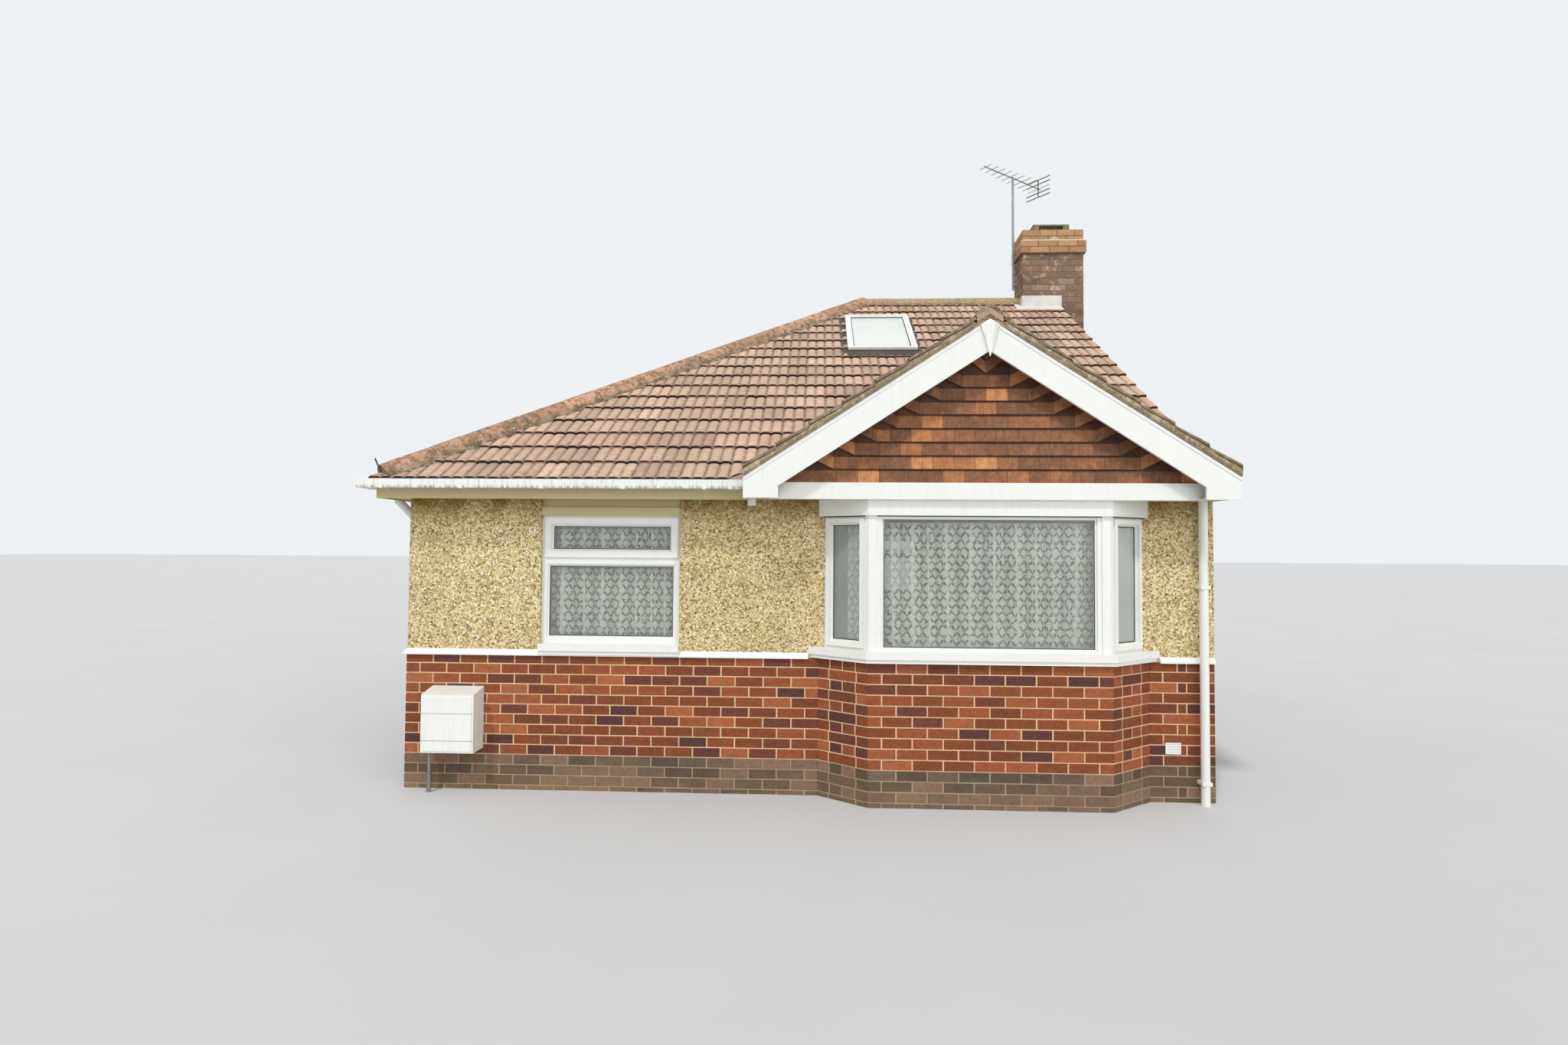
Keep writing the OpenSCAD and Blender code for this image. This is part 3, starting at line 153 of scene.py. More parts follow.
class Finish:
    """A node material built up one step at a time."""

    def __init__(self, name, roughness=.7, specular=.4, metallic=0):
        self.material = bpy.data.materials.new(name)
        self.material.use_nodes = True
        self.tree = self.material.node_tree
        self.shader = next(n for n in self.tree.nodes if n.type == "BSDF_PRINCIPLED")
        self.set("Roughness", roughness)
        self.set("Specular IOR Level", specular)
        self.set("Metallic", metallic)
        self.where = self.node("ShaderNodeTexCoord").outputs["Object"]

    def node(self, kind, inputs=None, **settings):
        made = self.tree.nodes.new(kind)
        for key, value in settings.items():
            setattr(made, key, value)
        for key, value in (inputs or {}).items():
            self.feed(made.inputs[key], value)
        return made

    def feed(self, socket, value):
        if isinstance(value, bpy.types.NodeSocket):
            self.tree.links.new(value, socket)
        elif isinstance(value, (tuple, list)) and len(value) == 3 and socket.type == "RGBA":
            socket.default_value = (*value, 1)
        else:
            socket.default_value = value

    def set(self, name, value):
        self.feed(self.shader.inputs[name], value)

    def stretched(self, x, y, z):
        return self.node("ShaderNodeMapping", {"Vector": self.where, "Scale": (x, y, z)}).outputs[0]

    def noise(self, scale, detail=3, rough=.6, where=None):
        return self.node("ShaderNodeTexNoise", {"Vector": where or self.where, "Scale": scale,
                                                "Detail": detail, "Roughness": rough}).outputs["Fac"]

    def cells(self, scale, output="Distance"):
        return self.node("ShaderNodeTexVoronoi", {"Vector": self.where, "Scale": scale}).outputs[output]

    def tone(self, name="tone"):
        return self.node("ShaderNodeAttribute", attribute_name=name).outputs["Fac"]

    def ramp(self, factor, stops):
        made = self.node("ShaderNodeValToRGB", {"Fac": factor})
        points = made.color_ramp.elements
        while len(points) < len(stops):
            points.new(0)
        for point, (place, value) in zip(points, stops):
            point.position = place
            point.color = (*(value if isinstance(value, tuple) else (value,) * 3), 1)
        return made.outputs["Color"]

    def spread(self, factor, low, high):
        """Stretches the part of a value between low and high over 0 to 1."""
        return self.node("ShaderNodeMapRange", {"Value": factor, "From Min": low,
                                                "From Max": high}).outputs["Result"]

    def mix(self, factor, first, second, blend="MIX"):
        made = self.node("ShaderNodeMix", data_type="RGBA", blend_type=blend)
        for socket, value in zip((made.inputs[0], made.inputs[6], made.inputs[7]),
                                 (factor, first, second)):
            self.feed(socket, value)
        return made.outputs[2]

    def coat(self, base, where, strength, rgb):
        """Dirt, moss, painted shade or another tone over the base, as strong as a mask times a share."""
        return self.mix(self.product(where, strength), base, linear(rgb))

    def times(self, first, second):
        """One colour seen through another."""
        return self.mix(1., first, second, "MULTIPLY")

    def mottle(self, base, source, stops):
        """The base made darker and lighter by the stops of a source."""
        return self.times(base, self.ramp(source, stops))

    def sums(self, operation, first, second=0.):
        return self.node("ShaderNodeMath", {0: first, 1: second}, operation=operation).outputs[0]

    def product(self, first, second):
        return self.sums("MULTIPLY", first, second)

    def height_at(self):
        return self.node("ShaderNodeSeparateXYZ", {0: self.where}).outputs["Z"]

    def bump(self, value, distance, strength=1.):
        under = self.shader.inputs["Normal"]
        inputs = {"Height": value, "Distance": distance, "Strength": strength}
        if under.is_linked:
            inputs["Normal"] = under.links[0].from_socket
        self.tree.links.new(self.node("ShaderNodeBump", inputs).outputs[0], under)

    def done(self, base):
        self.set("Base Color", base)
        return self.material


def stone_tones(c):
    """Colours of the chips in the render, from dark gaps to white flints."""
    return [(0, linear((104, 84, 54))), (.1, linear((150, 124, 78))), (.22, shade(c.render, .76)),
            (.42, tuple(c.render)), (.66, shade(c.render, 1.12)), (.8, linear((238, 224, 182))),
            (1, linear((252, 247, 230)))]


def eaves_growth_and_shade(f):
    """Mask of the growth and painted shade on the top of the walls, strongest just under the eaves."""
    return f.spread(f.height_at(), EAVES - .225, EAVES - .005)


def pebbledash(c):
    """Stones thrown into cement, with painted shade in its pits and between the stones, and growth with
    painted shade under the eaves.
    """
    f = Finish("Pebbledash", .9, .2)
    pick = f.node("ShaderNodeSeparateColor", {0: f.cells(74, "Color")}).outputs[0]
    fine = f.node("ShaderNodeSeparateColor", {0: f.cells(150, "Color")}).outputs[1]
    stones = f.mix(.25, f.ramp(pick, stone_tones(c)), f.ramp(fine, stone_tones(c)))
    base = f.mottle(stones, f.noise(1.3, 5), [(.3, (.9, .88, .82)), (.7, 1.07)])
    # Darker where the cells part: painted shade in the gaps between the stones.
    base = f.coat(base, f.spread(f.cells(74), .6, .82), .6, (118, 92, 52))
    # Dark pits: painted shade in holes in the dash.
    pit_shade = f.product(f.spread(f.cells(32), .24, .17), f.spread(f.noise(9, 2), .34, .42))
    base = f.coat(base, pit_shade, .85, (62, 48, 30))
    # Yellow-brown growth with painted shade, strongest just under the eaves.
    base = f.coat(base, f.product(eaves_growth_and_shade(f), f.spread(f.noise(6, 4), .2, .6)), .95, (118, 92, 12))
    f.bump(f.cells(74), .006, .8)
    f.bump(f.noise(240, 2), .0015)
    return f.done(base)


def chips(c):
    """Large chips of the dash, each with its own tone."""
    f = Finish("Dash_chips", .85, .25)
    base = f.mottle(f.ramp(f.tone(), stone_tones(c)), f.noise(300, 3), [(.3, .88), (.7, 1.12)])
    # Growth and painted shade under the eaves, as on the pebbledash.
    growth = eaves_growth_and_shade(f)
    f.bump(f.noise(400, 2), .0008)
    return f.done(f.coat(base, growth, .85, (122, 96, 18)))


def brick(name, stops, white=0., stain=0.):
    """Fired clay with its own tone on each brick, sand creases and worn spots."""
    f = Finish(name, .88, .25)
    base = f.mottle(f.ramp(f.tone(), stops), f.noise(38, 5, .7), [(.25, .65), (.55, 1.), (.8, 1.21)])
    base = f.mottle(base, f.noise(420, 2), [(.36, .7), (.44, 1.), (.62, 1.), (.7, 1.25)])
    if white:
        patch = f.spread(f.noise(8, 6, .75), .58 - white * .1, .68 - white * .1)
        base = f.coat(base, patch, .7, (206, 198, 180))
    if stain:
        low = f.product(f.spread(f.height_at(), stain, 0.), f.spread(f.noise(5, 4), .3, .7))
        base = f.coat(base, low, .6, (132, 116, 84))
    f.bump(f.noise(160, 5, .7), .0022)
    f.bump(f.noise(30, 3), .003, .6)
    return f.done(base)


def mortar(name, rgb):
    """Sand and lime or cement, in clouds and grains."""
    f = Finish(name, .95, .15)
    base = f.mottle(f.ramp(f.noise(5, 5), [(.3, shade(rgb, .84)), (.7, shade(rgb, 1.08))]),
                    f.noise(500, 2), [(.3, .82), (.7, 1.1)])
    f.bump(f.noise(350, 4), .0016)
    return f.done(base)


def roof_tile(c):
    """Faded concrete with a tone for each tile, dirt and painted shade in the hollows, painted shade
    with some dirt at the tails, lichen and moss.
    """
    f = Finish("Concrete_roof_tile", .93, .18)
    face = f.ramp(f.tone(), [(place, shade(c.tile, share)) for place, share in (
        (0, .78), (.35, .96), (.7, 1.05), (1, 1.22))])
    base = f.mottle(face, f.noise(14, 5, .7), [(.25, .74), (.5, 1.), (.8, 1.18)])
    base = f.mottle(base, f.noise(330, 3, .8), [(.3, .74), (.5, 1.), (.72, 1.25)])
    # Dirt and painted shade in the hollows between the rolls.
    hollow_dirt_and_shade = f.product(f.sums("POWER", f.tone("hollow"), 1.6), f.spread(f.noise(9, 4), .1, .5))
    base = f.coat(base, hollow_dirt_and_shade, .62, (104, 78, 62))
    # Painted shade, with some dirt, on the tails and noses of the tiles under each course.
    base = f.coat(base, f.tone("tail"), .98, (46, 29, 23))
    base = f.coat(base, f.spread(f.noise(24, 5, .8), .645, .7), .85, (230, 222, 208))
    moss = f.product(f.spread(f.noise(2.6, 3), .6, .68), f.spread(f.noise(45, 3), .52, .6))
    base = f.coat(base, moss, .7, (146, 132, 68))
    f.bump(f.noise(300, 4, .7), .0018)
    f.bump(f.noise(40, 3), .003, .6)
    return f.done(base)


def clay_cap(name, rgb, moss, moss_rgb):
    """Clay ridge tile or its bedding, with lichens and as much moss as it carries."""
    f = Finish(name, .9, .2)
    face = f.ramp(f.tone(), [(0, shade(rgb, .78)), (.5, tuple(rgb)), (1, shade(rgb, 1.15))])
    base = f.mottle(face, f.noise(22, 6, .75), [(.25, .72), (.5, 1.), (.78, 1.18)])
    base = f.mix(f.spread(f.noise(48, 5, .8), .61, .68), base, linear((226, 214, 196)))
    base = f.mix(f.spread(f.noise(30, 5, .8), .65, .7), base, linear((104, 80, 64)))
    growth = f.spread(f.noise(13, 6, .8), .62 - moss * .4, .7 - moss * .3)
    green = linear(moss_rgb)
    base = f.mix(growth, base, f.ramp(f.noise(70, 4), [(.3, shade(green, .55)), (.5, green),
                                                       (.72, shade(green, 1.5))]))
    f.bump(f.product(growth, f.noise(110, 4)), .01)
    base = f.coat(base, f.spread(f.noise(36, 3, .8), .63, .67), .8, (232, 228, 214))
    # The tail mark, used on the verge, paints shade on the tile ends and under them.
    base = f.coat(base, f.tone("tail"), .88, (70, 50, 38))
    f.bump(f.noise(240, 4, .7), .002)
    return f.done(base)


def hung_tile(c):
    """Burnt clay, from dark tiles to a few pale ones, in painted shade under the course above and along
    each tile's tail and sides.
    """
    f = Finish("Hung_clay_tile", .82, .3)
    face = f.ramp(f.tone(), [(0, shade(c.hung, .74)), (.3, shade(c.hung, .88)), (.62, tuple(c.hung)),
                             (.8, linear((152, 102, 70))), (.92, linear((180, 122, 80))),
                             (1, linear((200, 142, 96)))])
    face = f.coat(face, f.spread(f.noise(7, 4, .7), .54, .66), .5, (182, 120, 78))
    base = f.mottle(face, f.noise(24, 6, .75), [(.25, .62), (.5, 1.), (.8, 1.34)])
    streak = f.noise(15, 5, .7, f.stretched(6, 1, .7))
    base = f.mottle(base, streak, [(.32, .76), (.5, 1.), (.68, 1.22)])
    # Painted shade on each tile's tail and sides, and in the band under the course above.
    base = f.coat(base, f.tone("tail"), .9, (46, 32, 24))
    base = f.coat(base, f.tone("hollow"), .72, (48, 32, 24))
    base = f.mix(f.spread(f.noise(60, 4, .8), .68, .72), base, linear((216, 198, 170)))
    f.bump(f.noise(220, 4), .0016)
    return f.done(base)


def white_plastic(c, name="White_plastic", dirt=.15, rough=.32, tint=(1, 1, 1), foot=None):
    """Moulded white plastic or painted board with rain dirt down it; foot is where it collects."""
    f = Finish(name, rough, .45)
    paint = tuple(a * b for a, b in zip(c.white, tint))
    streak = f.noise(7, 5, .65, f.stretched(5, 5, .45))
    base = f.coat(paint, f.spread(streak, .5, .85), dirt, (150, 145, 120))
    base = f.mottle(base, f.noise(3, 3), [(.3, .965), (.7, 1.)])
    if foot:
        marks = f.spread(f.noise(26, 5, .7, f.stretched(1.6, 1.6, .25)), .42, .6)
        low = f.product(f.spread(f.height_at(), foot + .034, foot + .012), marks)
        base = f.coat(base, low, .85, (120, 112, 84))
    f.bump(f.noise(60, 3), .0005, .5)
    return f.done(base)


def glazing():
    """Clear panes with a painted reflection: a pale colour that grows opaque where they are seen aslant.
    """
    f = Finish("Window_glass", .03, .7)
    facing = f.node("ShaderNodeLayerWeight", {"Blend": .5}).outputs["Facing"]
    f.set("Alpha", f.sums("MINIMUM", f.sums("ADD", facing, .12), .8))
    # The pale colour is a painted reflection of the bright surroundings.
    return f.done(f.ramp(f.noise(.8, 2), [(.3, linear((190, 198, 192))),
                                          (.7, linear((214, 220, 212)))]))


def net(c, size):
    """Lattice lace: rows of petals parted by slanting gaps, with a closed hem, and painted light and
    shade across its folds.
    """
    f = Finish("Lattice_lace", .95, .1)
    flat = f.node("ShaderNodeSeparateXYZ", {0: f.node("ShaderNodeUVMap", uv_map="flat").outputs[0]})
    across = f.sums("ADD", f.product(flat.outputs[0], 1 / size), f.product(f.noise(24, 2), .8))
    up = f.sums("ADD", f.product(flat.outputs[1], 1.2 / size), f.product(f.noise(31, 2), .8))
    row = f.product(f.sums("FLOOR", up), .5)
    side = f.sums("ABSOLUTE", f.sums("SUBTRACT", f.sums("FRACT", f.sums("ADD", across, row)), .5))
    line = f.sums("ABSOLUTE", f.sums("SUBTRACT", f.sums("FRACT", up),
                                     f.sums("ADD", f.product(side, 1.45), .14)))
    ends = f.product(f.spread(side, .015, .06), f.spread(side, .49, .43))
    thread = f.sums("SUBTRACT", 1., f.product(f.spread(line, .26, .12), ends))
    # Near a fold's crest the lace closes up as two layers would; the band follows the fold tone, so it
    # also paints a highlight.
    thread = f.sums("MAXIMUM", thread, f.product(f.spread(f.tone(), .9, .985), .85))
    weave = f.spread(f.noise(260, 2), .3, .6)
    closed = f.sums("MAXIMUM", f.product(thread, f.sums("ADD", .72, f.product(weave, .24))),
                    f.spread(flat.outputs[1], .034, .03))
    f.set("Alpha", f.node("ShaderNodeMapRange", {"Value": closed, "To Min": .6,
                                                 "To Max": .97}).outputs[0])
    vein = f.ramp(f.noise(90, 3, .7), [(.3, shade(c.lace, .84)), (.5, tuple(c.lace)),
                                       (.7, shade(c.lace, 1.1))])
    # The gaps take a dark grey: painted shade of the room behind, seen through the holes.
    base = f.mix(thread, linear((112, 121, 108)), vein)
    # The fold tone paints shade on one flank of each fold and a highlight beside its crest.
    return f.done(f.mottle(base, f.tone(), [(0, .74), (.15, .9), (.5, 1.), (.86, 1.02), (.98, 1.14)]))


def metal(name, rgb, rough=.45):
    """Dull alloy or iron."""
    f = Finish(name, rough, .5, .85)
    rgb = linear(rgb)
    f.bump(f.noise(180, 3), .0006)
    return f.done(f.ramp(f.noise(12, 5), [(.3, shade(rgb, .75)), (.7, shade(rgb, 1.1))]))


def plain(name, rgb, rough=.8, grain=60, mottle=.08):
    """Plaster, screed, cloth or sealing strip: one tone with a fine grain."""
    f = Finish(name, rough, .3)
    rgb = linear(rgb)
    dark, light = 1 - mottle, 1 + mottle / 2
    cloud = f.ramp(f.noise(2.2, 4), [(.3, shade(rgb, dark)), (.7, shade(rgb, light))])
    base = f.mottle(cloud, f.noise(grain, 4), [(.3, dark), (.7, light)])
    f.bump(f.noise(grain * 4, 3), .0012)
    return f.done(base)


def blockwork():
    """Bare blocks of the party wall, as the other house left them."""
    f = Finish("Blockwork", .93, .2)
    place = f.node("ShaderNodeSeparateXYZ", {0: f.where})
    wall = f.node("ShaderNodeCombineXYZ", {"X": f.sums("ADD", place.outputs["X"], place.outputs["Y"]),
                                           "Y": place.outputs["Z"]}).outputs[0]
    blocks = f.node("ShaderNodeTexBrick", {
        "Vector": wall, "Scale": 1., "Mortar Size": .006, "Brick Width": .45, "Row Height": .225,
        "Color1": linear((158, 154, 148)), "Color2": linear((140, 137, 132)),
        "Mortar": linear((176, 170, 160))})
    f.bump(blocks.outputs["Fac"], .004)
    f.bump(f.noise(220, 4), .002)
    return f.done(f.mottle(blocks.outputs["Color"], f.noise(40, 5), [(.3, .85), (.7, 1.1)]))


def finishes():
    """Every finish of the house by its name."""
    scene = bpy.context.scene
    c = scene.bungalow_colours
    red = [(0, linear((88, 56, 52))), (.12, linear((112, 64, 54))), (.3, shade(c.brick, .82)),
           (.66, tuple(c.brick)), (.88, linear((158, 88, 58))), (1, linear((172, 102, 66)))]
    dark = [(0, shade(c.plinth, .62)), (.6, tuple(c.plinth)), (1, linear((146, 112, 90)))]
    stack = [(0, shade(c.stack, .66)), (.3, shade(c.stack, .9)), (.6, tuple(c.stack)),
             (.8, linear((154, 112, 90))), (1, linear((152, 142, 124)))]
    head = [(0, shade(c.head, .82)), (.5, tuple(c.head)), (1, shade(c.head, 1.12))]
    # Cream paint darkened and warmed as painted shade, for the boards under the eaves, the soffits and
    # the window heads.
    cream_painted_shade = (.66, .57, .31)
    gutter_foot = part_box("gutters")[0].z
    return {
        "render": pebbledash(c), "chips": chips(c),
        "brick": brick("Red_brick", red), "plinth": brick("Dark_brick", dark, stain=.3),
        "stack": brick("Stack_brick", stack, white=.2), "head": brick("Head_brick", head, white=.05),
        "mortar": mortar("Mortar", c.mortar),
        "dark_mortar": mortar("Dark_mortar", linear((168, 150, 124))),
        "stack_mortar": mortar("Stack_mortar", linear((134, 114, 94))),
        "fillet": mortar("Cement_fillet", linear((226, 224, 216))),
        "bedding": clay_cap("Mortar_bedding", linear((160, 138, 116)), .35, (118, 104, 74)),
        "tile": roof_tile(c), "cap": clay_cap("Clay_cap", c.cap, .3, (140, 124, 96)),
        "ridge": clay_cap("Mossy_ridge", c.cap, .6, (178, 166, 130)),
        "verge": clay_cap("Mossy_verge", linear((190, 172, 144)), .42, (164, 150, 114)),
        "terminal": clay_cap("Terminal_clay", linear((146, 134, 100)), .2, (126, 118, 84)),
        "hung": hung_tile(c), "white": white_plastic(c),
        "gutter": white_plastic(c, "Gutter_plastic", .8, foot=gutter_foot),
        "board": white_plastic(c, "Painted_board", .12, .5),
        "king": white_plastic(c, "Weathered_board", .95, .6),
        "shaded": white_plastic(c, "Cream_board_painted_shade", .2, .5, cream_painted_shade),
        "glass": glazing(), "net": net(c, scene.bungalow_nets.mesh),
        "alloy": metal("Aerial_alloy", (150, 150, 148)),
        "dark_alloy": metal("Dark_iron", (88, 88, 90), .6),
        "flashing": plain("Dark_flashing", (84, 74, 66), .7, 30, .25),
        "cladding": white_plastic(c, "Rooflight_cladding", .5, .4),
        # Real seals round the panes, and dark strips that paint shadow lines.
        "seal_and_shadow": plain("Dark_seal_and_shadow", (38, 38, 38), .6),
        "spacer": metal("Glazing_spacer", (150, 152, 150)),
        "screed": plain("Screed", (150, 145, 136)), "plaster": plain("Plaster", (226, 222, 212)),
        "block": blockwork(), "blind": plain("Roller_blind", (238, 239, 235), .85, 400, .03),
        "box": white_plastic(c, "Moulded_box", .22, .45),
    }


MADE = {}  # the finishes, once they are made


def finish_of(name):
    """A finish by its name, made once for the whole house."""
    if not MADE:
        MADE.update(finishes())
    return MADE[name]


def dress(names, finish):
    """Gives CAD nodes their finish."""
    for name in names:
        slots = NODES[name].data.materials
        for i in range(len(slots)):
            slots[i] = finish_of(finish)
        if not len(slots):
            slots.append(finish_of(finish))


def chance(step):
    """Random numbers of one step, the same on each run."""
    return random.Random(bpy.context.scene.bungalow_tiles.seed + step)


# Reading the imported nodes


def plane_of(name, across=0):
    """Point and normal of the plane of a slope's tile tails, on one side of the node if asked."""
    data = NODES[name].data
    for face in sorted(data.polygons, key=lambda p: -p.area):
        if face.normal.z > .5 and face.normal.x * across >= 0:
            if max((v.co - face.center).dot(face.normal) for v in data.vertices) < .001:
                return face.center.copy(), face.normal.copy()
    raise RuntimeError(f"{name} has no slope")


def height(plane, x, y):
    """Height of a roof plane over a point of the plan."""
    point, normal = plane
    return point.z - ((x - point.x) * normal.x + (y - point.y) * normal.y) / normal.z


def solids(name):
    """Points of each solid of a node."""
    bm = bmesh.new()
    bm.from_mesh(NODES[name].data)
    bmesh.ops.remove_doubles(bm, verts=bm.verts, dist=1e-5)
    left, found = dict.fromkeys(bm.verts), []
    while left:
        edge, solid = [left.popitem()[0]], []
        while edge:
            here = edge.pop()
            solid.append(here.co.copy())
            for other in (e.other_vert(here) for e in here.link_edges):
                if other in left:
                    del left[other]
                    edge.append(other)
        found.append(solid)
    bm.free()
    return sorted(found, key=lambda s: tuple(round(sum(p[i] for p in s) / len(s), 3) for i in range(3)))


class Plate:
    """An upright pane, frame or curtain of a node: a matrix with x along it and y into the house."""

    thickest = .2  # every plate is thinner than this, and wider

    def __init__(self, points):
        self.low, self.high = min(p.z for p in points), max(p.z for p in points)
        plan = [Vector((p.x, p.y)) for p in points]
        middle = sum(plan, Vector((0, 0))) / len(plan)
        sides = [b - a for a in plan for b in plan if (b - a).length > self.thickest]
        lengths = {round(s.length, 4): s for s in sides}
        flat = [s for s in lengths.values() if self.spread(plan, s) < self.thickest]
        along = min(flat, key=lambda s: self.spread(plan, s)).normalized()
        into = Vector((-along.y, along.x))
        if into.dot(middle) > 0:
            along, into = -along, -into
        start = min((p - middle).dot(along) for p in plan)
        self.wide = -2 * start
        face = min((p - middle).dot(into) for p in plan)
        self.thick = -2 * face
        corner = middle + along * start + into * face
        self.place = Matrix((along.to_3d(), into.to_3d(), UP)).transposed().to_4x4()
        self.place.translation = corner.to_3d()

    @staticmethod
    def spread(plan, side):
        """Thickness of a plan measured across one direction."""
        across = Vector((-side.y, side.x)).normalized()
        reach = [p.dot(across) for p in plan]
        return max(reach) - min(reach)


# Building the meshes

# Face marks: a tone, and tail and hollow, which the finishes darken mostly as painted shade.
MARKS = ("tone", "tail", "hollow")


class Mesh:
    """Faces gathered for one piece, each with a tone, and other marks by name."""

    def __init__(self):
        self.bm = bmesh.new()
        for name in MARKS:
            self.bm.faces.layers.float.new(name)
        self.marks = {name: self.bm.faces.layers.float[name] for name in MARKS}

    def face(self, points, tone=.5, **marks):
        made = self.bm.faces.new([p if isinstance(p, bmesh.types.BMVert) else self.bm.verts.new(p)
                                  for p in points])
        made[self.marks["tone"]] = tone
        for name, value in marks.items():
            made[self.marks[name]] = value
        return made

    def grid(self, rows, tone=.5, close=False, **marks):
        """A skin over rows of points."""
        rows = [[self.bm.verts.new(p) for p in row] for row in rows]
        for low, high in zip(rows, rows[1:]):
            count = len(low)
            for i in range(count if close else count - 1):
                j = (i + 1) % count
                self.face((low[i], low[j], high[j], high[i]), tone, **marks)
        return rows

    def tube(self, rows, tone=.5, **marks):
        """A closed skin over rings of points, with both ends shut."""
        rings = self.grid(rows, tone, close=True, **marks)
        self.face(rings[0][::-1], tone, **marks)
        self.face(rings[-1], tone, **marks)

    def block(self, place, size, tone=.5, arris=0., **marks):
        """A box whose front edges are worn by an arris: place maps it to the house."""
        (x0, x1), (y0, y1), (z0, z1) = size
        a = arris
        rings = [[(x0, y1, z0), (x1, y1, z0), (x1, y1, z1), (x0, y1, z1)],
                 [(x0, y0 + a, z0), (x1, y0 + a, z0), (x1, y0 + a, z1), (x0, y0 + a, z1)]]
        if a:
            rings.append([(x0 + a, y0, z0 + a), (x1 - a, y0, z0 + a),
                          (x1 - a, y0, z1 - a), (x0 + a, y0, z1 - a)])
        self.tube([[place @ Vector(p) for p in ring] for ring in rings], tone, **marks)

    def cut(self, place, outward, clear=True):
        """Cuts the faces by a plane and clears those beyond it, unless they are to stay."""
        whole = self.bm.verts[:] + self.bm.edges[:] + self.bm.faces[:]
        bmesh.ops.bisect_plane(self.bm, geom=whole, plane_co=place, plane_no=outward,
                               clear_outer=clear)

    def piece(self, name, finish, slot, smooth=None, replaces=()):
        """Ends the mesh as a piece of the house."""
        bmesh.ops.recalc_face_normals(self.bm, faces=self.bm.faces)
        data = bpy.data.meshes.new(name)
        self.bm.to_mesh(data)
        self.bm.free()
        return settle(name, data, finish, smooth, replaces)


def settle(name, data, finish, smooth=None, replaces=()):
    """Links a mesh as a piece that rides on the house."""
    made = bpy.data.objects.new(name, data)
    bpy.context.scene.collection.objects.link(made)
    data.materials.append(finish_of(finish))
    if smooth is not None:
        data.shade_smooth()
        data.set_sharp_from_angle(angle=math.radians(smooth))
    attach(made, "root")
    if replaces:
        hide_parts(*replaces)
    return made


def standing(corner, along, outward):
    """Matrix of a wall face: x along it, y into the wall and z up."""
    along, inward = Vector((*along, 0)).normalized(), -Vector((*outward, 0)).normalized()
    place = Matrix((along, inward, UP)).transposed().to_4x4()
    place.translation = Vector((*corner, 0))
    return place


# Bricks


def courses(top, bottom, course):
    """Heights of each course between two levels, counted down from the upper one."""
    count = math.ceil((top - bottom) / course - 1e-6)
    return [(k, max(bottom, top - (k + 1) * course), top - k * course) for k in range(count)]


def fill(start, end, unit, joint):
    """Bricks of nearly one length that fill a stretch of wall, as pairs of ends."""
    count = max(1, round((end - start + joint) / (unit + joint)))
    step = (end - start + joint) / count
    return [(start + i * step, start + (i + 1) * step - joint) for i in range(count)]


def brick_face(mesh, rng, corner, end, outward, top, bottom, ends=("cut", "cut"), gap=None, lean=0.):
    """Lays the stretchers of one face; an end is a corner's parity or cut, a gap is a doorway."""
    s = bpy.context.scene.bungalow_bricks
    corner, end = Vector(corner), Vector(end)
    span = (end - corner).length
    place = standing(corner, (end - corner), outward)
    wander, chop, least = .0012, .0015, .02  # unevenness of faces and of ends, and the shortest cut
    room, short = .05, .6  # least stretch between the end bricks, and length of a short brick
    for k, low, high in courses(top, bottom, s.course):
        odd = k % 2
        reach = {"cut": 0., "long": (s.header if odd else s.stretcher) + s.joint,
                 "short": (s.stretcher if odd else s.header) + s.joint}
        start, stop = reach[ends[0]], span - reach[ends[1]]
        first = s.header if odd else s.stretcher
        runs, rest = [], start
        if ends[0] == "cut":
            runs = [(start - lean, start + first)]
            rest = start + first + s.joint
        last = stop - first - s.joint if ends[1] == "cut" else stop
        if last - rest > room:
            runs += fill(rest, last, s.stretcher, s.joint)
            runs += [(stop - first, stop + lean)] if ends[1] == "cut" else []
        else:
            # A narrow pier has whole bricks in one course and short ones in the next.
            runs = fill(start - lean, stop + lean, s.stretcher * (1 if odd else short), s.joint)
        for a, b in runs:
            parts = [(a, b)]
            if gap and low < gap[2]:
                parts = [(a, min(b, gap[0])), (max(a, gap[1]), b)]
            for a, b in parts:
                if b - a > least:
                    out = s.proud + rng.uniform(-wander, wander)
                    mesh.block(place, ((a + rng.uniform(0, chop), b - rng.uniform(0, chop)),
                                       (-out, s.header), (low + s.joint / 2, high - s.joint / 2)),
                               rng.random(), s.arris)


def brick_corner(mesh, rng, corner, first, second, top, bottom):
    """Corner bricks that show an end on one face and a side on the other, turn and turn about."""
    s = bpy.context.scene.bungalow_bricks
    u, v = Vector((*first, 0)), Vector((*second, 0))
    for k, low, high in courses(top, bottom, s.course):
        reach = (s.stretcher, s.header) if k % 2 == 0 else (s.header, s.stretcher)
        z0, z1 = low + s.joint / 2, high - s.joint / 2
        rings = []
        for z, inset in ((z0, s.arris), (z0 + s.arris, 0), (z1 - s.arris, 0), (z1, s.arris)):
            near = inset - s.proud
            rings.append([Vector((*corner, z)) + u * x + v * y for x, y in (
                (near, near), (reach[0], near), (reach[0], reach[1]), (near, reach[1]))])
        mesh.tube(rings, rng.random())


